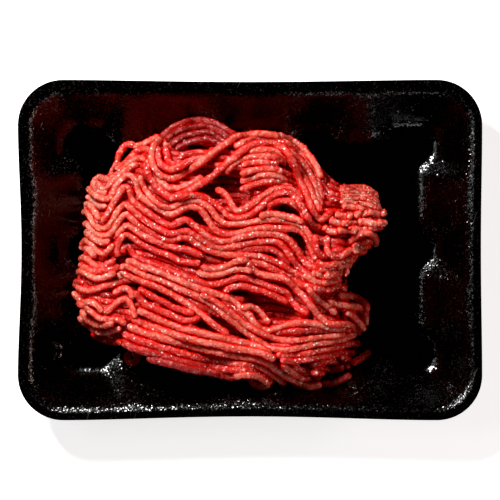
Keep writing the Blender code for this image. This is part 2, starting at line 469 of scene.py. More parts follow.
def black_foam():
    """Glossy black skin over foam cells."""
    finish = Finish("black_foam")
    place = finish.place()
    height = finish.node("SeparateXYZ", {}, {"Vector": place}, out=2)
    wall = finish.step(height, FOAM - 0.02 * MM, FOAM + 0.4 * MM)
    upper = finish.step(height, FOAM, 0.5 * TRAY_HEIGHT)
    rim = finish.step(height, 0.6 * TRAY_HEIGHT, 0.95 * TRAY_HEIGHT)
    flutes = finish.node("Attribute", {"attribute_name": "stretch"}, out=2) * wall
    flat = finish.step(height, 0.985 * TRAY_HEIGHT, 0.999 * TRAY_HEIGHT)
    broad = finish.grain(14 * MM, detail=2, place=place)
    tilt = wall * 0.06 + upper * 0.09 - flat * 0.1 + flutes * 0.14 + 0.008
    beads = finish.facets(BEAD, tilt, place, wild=0.9)
    waves = finish.node("Bump", {}, {"Strength": 1.0, "Distance": 0.3 * MM, "Height": broad, "Normal": beads})
    # Painted glints: pale specks in the colour, few on the floor, more on the walls and the lip, most along
    # the flutes.
    painted_glints = finish.flecks(0.55 * MM, 0.12, place) * (wall * 0.12 + flutes * 0.5 + rim * 0.1 + 0.02)
    colour = finish.blend(painted_glints, BLACK, PAINTED_GLINT_GREY)
    slanted = finish.node("Mapping", {"vector_type": "TEXTURE"},
                          {"Vector": place, "Rotation": (0, 0, SCUFF_TURN), "Scale": (SCUFF_LENGTH, 1, 1)})
    rubbed = finish.step(finish.grain(22 * MM, detail=1, place=place), 0.52, 0.6) * wall
    scuffs = finish.step(finish.grain(0.7 * MM, detail=1, place=slanted), 0.66, 0.74) * rubbed
    colour = finish.blend(scuffs * 0.5, colour, SCUFF)
    finish.surface({"Base Color": colour, "Roughness": flutes * 0.07 + upper * 0.08 - flat * 0.08 + 0.15,
                    "Normal": waves})
    return finish.material


BLACK_FOAM = black_foam()
print("black foam", len(BLACK_FOAM.node_tree.nodes), "nodes")

# %% [markdown]
# ### The skin
#
# The levels run once through the section of the sheet: from under the floor, up the outside, over the lip
# and down the inside. Both floors are then closed with one face each. A number kept at each point says how
# far the sheet was stretched there, and the finish reads it.

# %% Skin the tray
def tray_levels():
    """Levels from under the floor, up the outside, over the lip and down the inside."""
    lip = level_at(TRAY_LENGTH / 2, TRAY_WIDTH / 2, CORNER_RADIUS, TRAY_HEIGHT, 1)
    top = grown(lip, -LIP_WIDTH)
    foot = level_at(FLOOR_LENGTH / 2, FLOOR_WIDTH / 2, FLOOR_RADIUS, FOAM, 0, PANEL_PUSH, 0)
    mitre = 0.45 * FOAM  # how far the sloping sheet's outside lies from its inside
    under = grown(foot, mitre, -FOAM)
    beneath = grown(top, mitre, -FOAM)
    cut_edge = grown(lip, 0, -LIP_DROP - LIP_EDGE)
    edge = grown(lip, 0, -LIP_DROP)
    outer_foot = bend(grown(under, -FILLET_REACH), under, under + (beneath - under) * FILLET_SHARE,
                      steps=6)
    outer_roll = bend(under + (beneath - under) * (1 - ROLL_SHARE), beneath,
                      beneath + (cut_edge - beneath) * 0.5, steps=5)
    crown = [edge, grown(lip, -0.05 * MM, -0.8 * MM), grown(lip, -0.15 * MM, -0.05 * MM),
             grown(lip, -0.9 * MM, 0)]
    inner_roll = bend(grown(top, ROLL_REACH), top, top + (foot - top) * ROLL_SHARE, steps=12)
    inner_foot = bend(foot + (top - foot) * FILLET_SHARE, foot, grown(foot, -FILLET_REACH), steps=10)
    return (outer_foot + straight(outer_foot[-1], outer_roll[0], steps=8) + outer_roll + [cut_edge] + crown
            + inner_roll + straight(inner_roll[-1], inner_foot[0], steps=22) + inner_foot)


def make_tray():
    """The foam tray, closed under and over its floor."""
    rings, stretch = zip(*(tray_ring(level) for level in tray_levels()))
    around = len(rings[0])
    faces = tube_faces(len(rings), around).tolist()
    faces.append(list(range(around))[::-1])
    faces.append(list(range((len(rings) - 1) * around, len(rings) * around)))
    tray = make_piece("foam_tray_skin", np.concatenate(rings), faces, BLACK_FOAM)
    keep_values(tray, "stretch", np.concatenate(stretch))
    tray.data.set_sharp_from_angle(angle=math.radians(50))
    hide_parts("foam_tray")
    print("tray skin", len(tray.data.vertices), "points")


make_tray()

# %% [markdown]
# ### The ring that the mould leaves
#
# A pin of the mould leaves a small raised ring on the wall. A torus would do, but it has to lie along the
# slope. So a ray from above finds the place and its slope on the skin, and a small tube is turned to it.

# %% Moulded ring
def moulded_ring(x, y, radius, girth):
    """A thin ring raised from the wall of the tray at this place."""
    skin = bpy.data.objects["foam_tray_skin"].data
    tree = BVHTree.FromPolygons([v.co for v in skin.vertices], [f.vertices for f in skin.polygons])
    middle, normal = tree.ray_cast(Vector((x, y, HIGH[2])), Vector((0, 0, -1)))[:2]
    turned = normal.to_track_quat("Z", "Y").to_matrix()
    turn, around = np.radians(np.arange(0, 360, 8)), np.radians(np.arange(0, 360, 45))
    out = radius + girth * np.cos(around)
    spots = np.stack([np.cos(turn)[:, None] * out, np.sin(turn)[:, None] * out,
                      np.sin(around) * girth + 0 * turn[:, None]], axis=-1).reshape(-1, 3)
    points = spots @ np.array(turned).T + np.array(middle)
    ring = make_piece("moulded_ring", points, tube_faces(len(turn), len(around), closed=True).tolist(),
                      BLACK_FOAM)
    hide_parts("foam_tray")
    print("ring at", [round(v / MM, 1) for v in middle])


moulded_ring(-78.4 * MM, 67.4 * MM, radius=2.4 * MM, girth=0.35 * MM)

# %% [markdown]
# ## Raw mince
#
# Mince is lean meat, a deep wet red, with crumbs of pale fat of one or two millimetres. Light goes some way
# into it, which makes the shadows between strands red rather than grey, so the shader scatters light under
# the surface.
#
# One colour with noise would make all strands alike. So two numbers are kept at each point. `tone` is what
# the strand is made of there, from 0 to 1 at random, with painted light and shade added to it: below 0 it is
# painted shade, darkest at -1 for meat deep in the heap and in its gaps, and above 1, up to the fattest and
# palest at 2, it is partly fatter meat and partly painted light. `crown` is 1 on top of a strand and -1
# beneath it, and paints light
# and shade on every strand: the top is painted pale, with its fat, as lit meat, and the flanks a deep red, as
# shade.
#
# The fat shows at four sizes: soft clots, fine specks, angular chunks, and a few bright bits, which are
# partly fat and partly painted glints. The skin is wet, so its direction is turned a little cell by cell, as
# the foam's is, and the gloss breaks up.

# %% Meat finish
# Painted shade: the dark brown red that a tone below 0 blends towards, for meat that lies deep or in gaps.
PAINTED_SHADE_RED = (0.16, 0.006, 0.005, 1)
# Painted shade: the deep red of each strand's flanks and underside, and of the core.
SHADED_FLANK_RED = ((0.92, 0.0004, 0.0004, 1), (0.96, 0.0015, 0.001, 1))
# Painted light: the paler red of each strand's top.
LIT_TOP_RED = ((0.66, 0.040, 0.028, 1), (0.74, 0.155, 0.103, 1))
# Partly the red of fatter meat and partly painted light: used where a shift lifts the tone above 1.
FATTER_AND_LIT_RED = (0.92, 0.25, 0.19, 1)
FAT = (0.98, 0.47, 0.37, 1)
# Partly bright fat and partly painted glints of the wet skin.
FAT_AND_PAINTED_GLINT = (1.0, 0.84, 0.76, 1)


def raw_mince():
    """Wet red meat with crumbs of fat."""
    finish = Finish("raw_mince")
    place = finish.place()
    tone = finish.node("Attribute", {"attribute_name": "tone"}, out=2)
    crown = finish.node("Attribute", {"attribute_name": "crown"}, out=2)
    broad = finish.grain(9 * MM, detail=2, place=place)
    clots = finish.grain(2.0 * MM, detail=4, place=place)
    fine = finish.grain(0.9 * MM, detail=3, place=place)
    # Painted shade: 1 at a tone of -1, down to 0 at a tone of 0.
    painted_shade = 1 - finish.step(tone, -1, 0)
    # A tone above 1: partly fatter meat, partly painted light.
    fatter_and_lit = finish.step(tone, 1, 2)
    shaded_flank = finish.blend(finish.step(tone, 0, 1), *SHADED_FLANK_RED)
    lit_top = finish.blend(finish.step(broad * 0.6 + tone * 0.5, 0.3, 0.8), *LIT_TOP_RED)
    lit_top = finish.blend(fatter_and_lit, lit_top, FATTER_AND_LIT_RED)
    # Painted light and shade: by its crown, each strand's top gets the lit red and its flanks the shaded red.
    lean = finish.blend(finish.step(crown, 0.3, 1.0), shaded_flank, lit_top)
    # Painted shade: meat with a tone below 0 is darkened.
    lean = finish.blend(painted_shade * 0.75, lean, PAINTED_SHADE_RED)
    fat = finish.step(clots + tone * 0.05, 0.56, 0.70)
    specks = finish.step(fine, 0.58, 0.70)
    chunks = finish.flecks(1.7 * MM, 0.14, place)
    # Fat is shown only on the strands' tops, which paints light there too, and is dimmed under painted shade.
    pale = (fat * 0.36 + specks * 0.2 + chunks * 0.3) * finish.step(crown, 0.1, 0.9) * (1 - painted_shade * 0.7)
    colour = finish.blend(pale, lean, FAT)
    # Partly fat and partly painted glints: sparse near-white flecks on the strands' tops.
    fat_and_glint_flecks = finish.flecks(0.75 * MM, 0.033, place) * finish.step(crown, 0.3, 0.9) * (1 - painted_shade * 0.6)
    colour = finish.blend(fat_and_glint_flecks * 0.8, colour, FAT_AND_PAINTED_GLINT)
    cells = finish.node("TexVoronoi", {"feature": "SMOOTH_F1"}, {"Vector": place, "Scale": 1 / (1.2 * MM)})
    relief = clots * 0.3 + fine * 0.9 - cells * 0.9
    wet = finish.facets(0.5 * MM, 0.22, place)
    bump = finish.node("Bump", {}, {"Strength": 1.0, "Distance": 0.6 * MM, "Height": relief, "Normal": wet})
    finish.surface({"Base Color": colour, "Roughness": 0.11 + clots * 0.14, "Normal": bump,
                    "Subsurface Weight": 0.8, "Subsurface Scale": 4.0 * MM,
                    "Subsurface Radius": (1.0, 0.07, 0.05), "Specular IOR Level": 0.6})
    return finish.material


RAW_MINCE = raw_mince()
print("raw mince", len(RAW_MINCE.node_tree.nodes), "nodes")

# %% [markdown]
# ## A height map
#
# A strand lies on whatever is under it. A physics run could drop some hundreds of soft strands, but it would
# be slow and they would not fall in the folds wanted. So one square grid keeps the height of what is topmost
# at each place. It starts as the tray's inside and the heap's core, and each strand that is laid is stamped
# into it, so that the next one rests on top.

# %% Height map
CELL = 0.5 * MM


class HeightMap:
    """Heights in metres on a square grid over the heap."""

    def __init__(self, low, high):
        self.low = np.array(low)
        self.size = tuple(int(round((h - l) / CELL)) + 1 for l, h in zip(low, high))
        self.top = np.zeros(self.size)

    def places(self):
        """x and y of every point of the grid."""
        axes = [self.low[k] + np.arange(self.size[k]) * CELL for k in (0, 1)]
        return np.meshgrid(*axes, indexing="ij")

    def at(self, x, y):
        """Height at these places, between the grid's points."""
        u = np.clip((x - self.low[0]) / CELL, 0, self.size[0] - 1.001)
        v = np.clip((y - self.low[1]) / CELL, 0, self.size[1] - 1.001)
        i, j = u.astype(int), v.astype(int)
        s, t = u - i, v - j
        top = self.top
        return ((top[i, j] * (1 - t) + top[i, j + 1] * t) * (1 - s)
                + (top[i + 1, j] * (1 - t) + top[i + 1, j + 1] * t) * s)

    def stamp(self, path, radius):
        """Raises the map to a strand that follows this path."""
        reach = int(radius.max() / CELL) + 1
        near = np.arange(-reach, reach + 1)
        di, dj = (a.ravel() for a in np.meshgrid(near, near, indexing="ij"))
        i = np.clip(np.rint((path[:, 0, None] - self.low[0]) / CELL).astype(int) + di, 0, self.size[0] - 1)
        j = np.clip(np.rint((path[:, 1, None] - self.low[1]) / CELL).astype(int) + dj, 0, self.size[1] - 1)
        off_x = self.low[0] + i * CELL - path[:, 0, None]
        off_y = self.low[1] + j * CELL - path[:, 1, None]
        rise = radius[:, None] ** 2 - off_x ** 2 - off_y ** 2
        touched = rise > 0
        height = (path[:, 2, None] + np.sqrt(np.maximum(rise, 0)))[touched]
        np.maximum.at(self.top, (i[touched], j[touched]), height)


# %% Read the frame's surfaces from above
HEAP_LOW, HEAP_HIGH = (np.array(corner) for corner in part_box("mince_heap"))
BORDER = 9 * MM
laid = HeightMap(HEAP_LOW[:2] - BORDER, HEAP_HIGH[:2] + BORDER)


def seen_from_above(node, missing):
    """The node's height at each place of the map, or the missing value beside the node."""
    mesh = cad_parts[node].data
    tree = BVHTree.FromPolygons([v.co for v in mesh.vertices], [f.vertices for f in mesh.polygons])
    start, down = HIGH[2] + 10 * MM, Vector((0, 0, -1))
    heights = np.full(laid.size, missing)
    x, y = laid.places()
    for i, j in np.ndindex(*laid.size):
        spot = tree.ray_cast(Vector((x[i, j], y[i, j], start)), down)[0]
        if spot:
            heights[i, j] = spot.z
    return heights


TRAY_TOP = seen_from_above("foam_tray", 0.0)
HEAP_TOP = seen_from_above("mince_heap", -1.0)
print("map", laid.size, "cells, heap up to", round(HEAP_TOP.max() / MM, 1), "mm")

# %% [markdown]
# ## The heap's core
#
# Most of the heap is hidden, so a plain solid stands for its inside, painted dark as shade. It is the frame's
# heap with two strands' thickness taken off all round. Its surface has ridges of its own, since it can be
# glimpsed between the strands, and it is hollowed where the heap has gaps that can be seen into.

# %% Core
MIDDLE = np.array((-13.5, -1.0)) * MM  # the frame's heap was shaped around this place
# Added to the routes of the strands on top, since most were read that much off, and to the crumbs too.
HEAP_PLACE = np.array((0.3, -0.7)) * MM
CORE_DEPTH = 7.2 * MM
CORE_INSET = 6.5 * MM
SPOKES = 240
NEAREST, FARTHEST = 20 * MM, 95 * MM  # the heap's edge is between these distances from its middle


def blurred(values, cells):
    """Values of the grid smoothed over this many cells."""
    reach = np.arange(-3 * cells, 3 * cells + 1)
    weight = np.exp(-0.5 * (reach / cells) ** 2)
    weight /= weight.sum()
    for axis in (0, 1):
        margin = [(3 * cells, 3 * cells) if a == axis else (0, 0) for a in (0, 1)]
        padded = np.pad(values, margin, mode="edge")
        values = sum(w * np.take(padded, np.arange(values.shape[axis]) + k, axis=axis)
                     for k, w in enumerate(weight))
    return values


def reach_of_heap(height):
    """For every spoke, how far from its middle the heap is at least this high."""
    turn = np.arange(SPOKES) / SPOKES * 2 * math.pi
    out = np.arange(NEAREST, FARTHEST, CELL)
    x = MIDDLE[0] + np.cos(turn)[:, None] * out
    y = MIDDLE[1] + np.sin(turn)[:, None] * out
    inside = (heap_map.at(x, y) > height) & (tray_map.at(x, y) < height)
    last = len(out) - 1 - np.argmax(inside[:, ::-1], axis=1)
    return out[last]


def round_blur(values, width):
    """Values once round the heap, smoothed over this many of them."""
    reach = np.arange(-3 * width, 3 * width + 1)
    weight = np.exp(-0.5 * (reach / width) ** 2)
    return sum(w * np.roll(values, k) for k, w in zip(reach, weight)) / weight.sum()


def map_of(heights):
    """A height map over the heap with these heights."""
    made = HeightMap(HEAP_LOW[:2] - BORDER, HEAP_HIGH[:2] + BORDER)
    made.top = heights
    return made


heap_map = map_of(HEAP_TOP)
tray_map = map_of(TRAY_TOP)
core_map = map_of(blurred(np.maximum(HEAP_TOP, 0), 3) - CORE_DEPTH)
print("core up to", round(core_map.top.max() / MM, 1), "mm")

# %% Hollows
# Gaps that can be seen into: place, half length, half width in millimetres, and turn in degrees.
# Another program measured these rows and they were rounded here. Working them out by rule would be better.
HOLLOWS = [
    (26, -56, 13, 4, -10), (10, -27, 14, 3.5, -21), (39, -40, 14, 2.5, -6), (-44, -22, 17, 2, -25),
    (-13, -39, 15, 3, -18), (-8, 30, 10, 4, -30), (-27, 16, 9, 3, -14), (-34, 56, 11, 2, 26),
    (-35, 7.5, 6, 4, 70), (45, -31, 5, 2.5, -22), (-20, 28.5, 7, 2, -17), (20, 19, 6, 2, -26),
    (23, 4, 8, 2, -57), (-25, 49, 5, 2, 0), (-5, -19, 7, 1.5, 9), (-66, -42, 4, 2, 10),
    (-67, -7.5, 4, 2, 19), (53, -30.5, 5, 2, -48), (8, -0.5, 6, 1.5, -14),
]
HOLLOW_DEPTH = 10 * MM
HOLLOW_EDGE = (2, 2.2)  # soft edge along and across a hollow, in millimetres


def hollowness(x, y):
    """1 in the middle of a hollow, down to 0 at its edge and beyond."""
    most = np.zeros(np.shape(x))
    for middle_x, middle_y, half_length, half_width, turn in HOLLOWS:
        off_x, off_y = x - middle_x * MM, y - middle_y * MM
        c, s = math.cos(math.radians(turn)), math.sin(math.radians(turn))
        along = (off_x * c + off_y * s) / ((half_length + HOLLOW_EDGE[0]) * MM)
        over = (off_y * c - off_x * s) / ((half_width + HOLLOW_EDGE[1]) * MM)
        most = np.maximum(most, 1 - along ** 2 - over ** 2)
    return most


def dip(x, y):
    """How far what lies here sinks into a hollow."""
    return HOLLOW_DEPTH * np.minimum(1, 2 * hollowness(x, y))


print(len(HOLLOWS), "hollows")

# %% Make the core
RIDGE = 0.5 * MM
CORE_LIFT = 0.5 * MM  # clear of the tray


def make_core():
    """The hidden inside of the heap, as rings from its top out to its foot and back under it."""
    turn = np.arange(SPOKES) / SPOKES * 2 * math.pi
    way = np.stack([np.cos(turn), np.sin(turn)], axis=1)
    reach = round_blur(reach_of_heap(FOAM + 3 * MM), 4) - CORE_INSET
    rings = []
    for share in np.linspace(0.01, 1, 60):
        spot = MIDDLE + way * (reach * share)[:, None]
        ground = tray_map.at(spot[:, 0], spot[:, 1]) + CORE_LIFT
        ridges = RIDGE * np.sin((0.3 * spot[:, 0] + 0.95 * spot[:, 1]) / (0.52 * MM))
        sunk = dip(spot[:, 0], spot[:, 1])
        height = np.maximum(core_map.at(spot[:, 0], spot[:, 1]) + ridges - sunk, ground)
        rings.append(np.column_stack([spot, height]))
    under = rings[-1].copy()
    under[:, 2] = FOAM + 0.4 * MM
    rings[-1][:, 2] += CORE_LIFT
    rings.append(under)
    points = np.concatenate(rings)
    faces = tube_faces(len(rings), SPOKES).tolist()
    faces.append(list(range(SPOKES))[::-1])
    faces.append(list(range(len(points) - SPOKES, len(points))))
    faces = [face[::-1] for face in faces]
    core = make_piece("mince_core", points, faces, RAW_MINCE)
    # Painted shade: the core takes the darkest tone, and the shaded flank colour all over.
    keep_values(core, "tone", np.full(len(points), -1.0))
    keep_values(core, "crown", np.full(len(points), -1.0))
    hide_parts("mince_heap")
    return reach


CORE_REACH = make_core()
core_x, core_y = laid.places()
around_middle = np.arctan2(core_y - MIDDLE[1], core_x - MIDDLE[0]) / (2 * math.pi) * SPOKES
core_edge = np.interp(around_middle % SPOKES, np.arange(SPOKES + 1), np.append(CORE_REACH, CORE_REACH[0]))
in_core = np.hypot(core_x - MIDDLE[0], core_y - MIDDLE[1]) < core_edge
laid.top = np.where(in_core, np.maximum(core_map.top, TRAY_TOP), TRAY_TOP)
print("core reaches", round(CORE_REACH.min() / MM), "to", round(CORE_REACH.max() / MM), "mm")

# %% [markdown]
# ## Strands
#
# A strand is a tube that follows a smooth path, but its surface is ground meat: lumpy, never quite round,
# and torn at its ends. A bevelled curve would be a smooth pipe, so each strand is its own mesh, with its
# points pushed in and out by `Lumps`, which gives the same lumps at the same place in every run. The height
# of a path comes from the map: the strand rests on what it crosses, sags a little between, and sinks a
# little into what is under it, since all of it is soft.

# %% Lumps
LATTICE = 32  # random values along each side of a block that repeats


class Lumps:
    """Smooth random values from -1 to 1 through space, from one seed."""

    def __init__(self, seed):
        self.lattice = np.random.default_rng(seed).uniform(-1, 1, (LATTICE,) * 3)

    def at(self, points, size):
        """Values at these points, with lumps about this size."""
        place = np.asarray(points) / size
        cell = np.floor(place).astype(int)
        t = place - cell
        t = t * t * (3 - 2 * t)
        total = 0
        for corner in np.ndindex(2, 2, 2):
            i, j, k = ((cell[..., a] + corner[a]) % LATTICE for a in range(3))
            weight = np.prod([t[..., a] if corner[a] else 1 - t[..., a] for a in range(3)], axis=0)
            total = total + self.lattice[i, j, k] * weight
        return total


LUMPS = Lumps(7)
draw = np.random.default_rng(11)
print("lumps at three places", LUMPS.at(np.eye(3), 0.3).round(2))

# %% Paths
STEP = 0.5 * MM


def smooth_path(guides):
    """Points a step apart on a smooth curve through the guide points."""
    guides = np.asarray(guides, dtype=float)
    ends = np.concatenate([[2 * guides[0] - guides[1]], guides, [2 * guides[-1] - guides[-2]]])
    t = np.linspace(0, 1, 25)[:-1, None]
    parts = []
    for a, b, c, d in zip(ends, ends[1:], ends[2:], ends[3:]):
        parts.append(b + 0.5 * t * (c - a + t * (2 * a - 5 * b + 4 * c - d + t * (3 * (b - c) + d - a))))
    return evenly(np.concatenate(parts + [guides[-1:]]))


def evenly(curve):
    """The same curve with its points a step apart."""
    along = np.concatenate([[0], np.cumsum(np.linalg.norm(np.diff(curve, axis=0), axis=1))])
    places = np.linspace(0, along[-1], max(4, int(along[-1] / STEP) + 1))
    return np.column_stack([np.interp(places, along, curve[:, k]) for k in range(curve.shape[1])])


def eased(values, width):
    """Values along a path, smoothed over this length, with its ends kept."""
    cells = max(1, int(width / STEP))
    reach = np.arange(-3 * cells, 3 * cells + 1)
    weight = np.exp(-0.5 * (reach / cells) ** 2)
    padded = np.pad(values, 3 * cells, mode="edge")
    return np.convolve(padded, weight / weight.sum(), mode="valid")


def sideways(path):
    """For each point of a path, the level direction square to it."""
    along = np.gradient(path[:, :2], axis=0)
    along /= np.maximum(np.linalg.norm(along, axis=1), 1e-9)[:, None]
    return np.stack([-along[:, 1], along[:, 0]], axis=1)


def wander(path, amount, length, seed):
    """The path pushed sideways, this much and over this length, in a random but smooth way."""
    along = np.arange(len(path)) * STEP
    # The seed picks a line through the lumps for this strand alone.
    line = np.column_stack([along, np.full(len(path), seed * 13.7 * MM), np.full(len(path), 3 * MM)])
    path = path.copy()
    path[:, :2] += sideways(path) * (LUMPS.at(line, length) * amount)[:, None]
    return path


print("a path of 10 mm has", len(smooth_path([(0, 0), (5 * MM, 0), (10 * MM, 0)])), "points")

# %% One strand
RADIUS = 1.72 * MM
SINK = 0.5 * MM  # into what is under it
SAG = 2.4 * MM  # a strand bridges gaps of about this length
DROOP = 0.9 * MM  # the most that it is pressed into a high spot
GRAIN, BULGE, SWELL = 0.26, 0.08, 0.06  # lumps of three sizes, as shares of the radius


def resting_height(path, radius):
    """Height of the middle of a strand that lies along this path on what is there already."""
    across = sideways(path)
    height = np.full(len(path), -1.0)
    for share in (-0.6, -0.3, 0, 0.3, 0.6):
        spot = path[:, :2] + across * share * radius
        height = np.maximum(height, laid.at(spot[:, 0], spot[:, 1]) + radius * math.sqrt(1 - share ** 2))
    held = eased(height, SAG)
    return np.maximum(held, height - DROOP) - SINK


def tube(path, radius, sides, seed, rough=1.0):
    """Points and faces of a lumpy strand along a path, closed at both ends."""
    along = np.gradient(path, axis=0)
    along /= np.linalg.norm(along, axis=1)[:, None]
    across = np.cross(along, (0, 0, 1.0))
    across /= np.maximum(np.linalg.norm(across, axis=1), 1e-6)[:, None]
    over = np.cross(across, along)
    turn = np.arange(sides) / sides * 2 * math.pi
    way = np.cos(turn)[None, :, None] * across[:, None] + np.sin(turn)[None, :, None] * over[:, None]
    size = radius[:, None] * np.ones(sides)
    spots = path[:, None] + way * size[..., None]
    shift = seed * 3.1 * MM  # its own place among the lumps
    grains = np.abs(LUMPS.at(spots + shift, 1.25 * MM)) + 0.6 * np.abs(LUMPS.at(spots - shift, 0.9 * MM))
    lumps = (GRAIN * (grains - 0.45) + BULGE * LUMPS.at(spots + shift, 2.4 * MM)
             + SWELL * LUMPS.at(path[:, None] + shift + 0 * way, 5 * MM))
    size = size * (1 + rough * lumps)
    spots = path[:, None] + way * size[..., None]
    count = len(path)
    faces = tube_faces(count, sides)
    caps = [list(range(sides)), list(range((count - 1) * sides, count * sides))[::-1]]
    return spots.reshape(-1, 3), faces[:, ::-1].tolist(), caps


def rounded_ends(count, radius, blunt):
    """Radius at this many points along a strand, drawn in at both ends."""
    length = STEP * count
    places = np.linspace(0, length, count)
    from_end = np.minimum(places, length - places)
    share = np.clip(from_end / (blunt * radius) + 0.06, 0, 1)
    return radius * np.sqrt(1 - (1 - share) ** 2)


print("a strand is", round(2 * RADIUS / MM, 2), "mm thick before its lumps")

# %% Batches of strands
class Batch:
    """Strands gathered into one piece."""

    def __init__(self, name, sides=14):
        self.name = name
        self.sides = sides
        self.points = []
        self.faces = []
        self.tones = []
        self.crowns = []
        self.count = 0
        self.strands = 0

    def add(self, path, radius=RADIUS, tone=None, rough=1.0, blunt=1.0, height=None, dipping=False):
        """Lays one strand: finds its height, stamps it into the map and keeps its mesh."""
        girth = rounded_ends(len(path), radius, blunt)
        if height is None:
            height = resting_height(path, radius)
        path = np.column_stack([path[:, :2], height])
        laid.stamp(path, girth)
        shade = draw.uniform(0, 1) if tone is None else tone
        if dipping:
            path[:, 2] -= dip(path[:, 0], path[:, 1])
        points, faces, caps = tube(path, girth, self.sides, draw.integers(1000), rough)
        self.points.append(points)
        self.faces += [[v + self.count for v in face] for face in faces + caps]
        self.count += len(points)
        self.tones.append(np.repeat(shade * np.ones(len(path)), self.sides))
        # crown: 1 on top of the strand and -1 beneath; from it the finish paints light on the top and shade
        # on the flanks.
        turn = np.arange(self.sides) / self.sides * 2 * math.pi
        self.crowns.append(np.tile(np.sin(turn), len(path)))
        self.strands += 1

    def finish(self):
        """Makes the piece."""
        piece = make_piece(self.name, np.concatenate(self.points), self.faces, RAW_MINCE)
        keep_values(piece, "tone", np.concatenate(self.tones))
        keep_values(piece, "crown", np.concatenate(self.crowns))
        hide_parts("mince_heap")
        print(self.name, self.strands, "strands,", len(self.faces) * 2, "triangles")


print("batches are ready")

# %% [markdown]
# ## Strands round the sides
#
# The sides of the heap are strands too, lying one above another like the courses of a wall. Laying them by
# hand would be slow, and they are seen only from low down. So each course follows the heap's outline at its
# height, wavers in and out, and is broken here and there.

# %% Sides
COURSE = 2.9 * MM  # from one course up to the next
COURSES = 10
WAVER = 1.7 * MM
side_strands = Batch("side_strands", sides=8)


def lay_course(height):
    """One course of strands round the heap at this height."""
    reach = round_blur(reach_of_heap(height + 0.5 * MM), 3) - 1.1 * RADIUS - 2.2 * MM
    turn = np.arange(SPOKES + 1) / SPOKES * 2 * math.pi
    start = draw.uniform(0, 2 * math.pi)
    outline = np.column_stack([MIDDLE[0] + np.append(reach, reach[0]) * np.cos(turn),
                               MIDDLE[1] + np.append(reach, reach[0]) * np.sin(turn)])
    outline = evenly(np.roll(outline[:-1], int(start / (2 * math.pi) * SPOKES), axis=0))
    place = 0
    while place < len(outline) - 30:
        count = int(draw.uniform(35, 120) * MM / STEP)
        piece = outline[place:place + count]
        if len(piece) > 12:
            seed = draw.integers(500)
            piece = wander(piece, WAVER, 9 * MM, seed)
            line = np.column_stack([piece, np.full(len(piece), height)])
            level = height + LUMPS.at(line + seed * MM, 11 * MM) * 1.3 * MM
            ground = tray_map.at(piece[:, 0], piece[:, 1]) + RADIUS
            side_strands.add(piece, height=np.maximum(level, ground), rough=1.2)
        place += count - int(draw.uniform(1, 6) * MM / STEP)


for course in range(COURSES):
    lay_course(FOAM + RADIUS + course * COURSE)
side_strands.finish()

# %% [markdown]
# ## The sheet under the top
#
# Under the strands that show lies another sheet, which fills the gaps between them. It runs much as they do,
# from the left down to the right, in soft waves, so rows of one wave are laid a pitch apart and cut off at
# the core's edge.
# Its meat is painted darker, as shade in the gaps, and it dips into the hollows.

# %% Under-sheet
PITCH = 3.3 * MM
FEWEST = 20  # points of the shortest strand worth laying
under_strands = Batch("under_strands", sides=8)


def lay_under_sheet(slope, wave, phase):
    """Wavy strands a pitch apart over the whole core."""
    for row in range(-30, 31):
        x = np.arange(-95, 75, 3.0) * MM
        bowed = wave * np.sin(x / (10 * MM) + row * 0.13 + phase)
        y = row * PITCH + slope * (x - MIDDLE[0]) + bowed
        path = smooth_path(np.column_stack([x, y]))
        turn = np.arctan2(path[:, 1] - MIDDLE[1], path[:, 0] - MIDDLE[0]) / (2 * math.pi) * SPOKES
        edge = np.interp(turn % SPOKES, np.arange(SPOKES + 1), np.append(CORE_REACH, CORE_REACH[0]))
        inside = np.hypot(path[:, 0] - MIDDLE[0], path[:, 1] - MIDDLE[1]) < edge + 1 * MM
        if inside.sum() < FEWEST:
            continue
        kept = path[np.argmax(inside):len(path) - np.argmax(inside[::-1])]
        wavering = wander(kept, 0.6 * MM, 7 * MM, draw.integers(500))
        # Painted shade: tones below 0 darken these strands.
        under_strands.add(wavering, tone=draw.uniform(-0.7, -0.2), dipping=True)


lay_under_sheet(-0.25, 2.2 * MM, 0.4)
under_strands.finish()

# %% [markdown]
# ## The strands on top
#
# These are the strands that give the heap its look, so they have routes of their own, from the lowest to
# the topmost, in the order in which they fell from the plate. Each `lay` below names one strand, or a bundle
# of strands side by side between two routes. A route is a few places in millimetres from the middle of the
# tray, most of them read off a grid. Where the meat was torn, a strand is laid in broken pieces.

# %% Lay a bundle
WOBBLE = 0.35 * MM  # how far a routed strand strays from its route


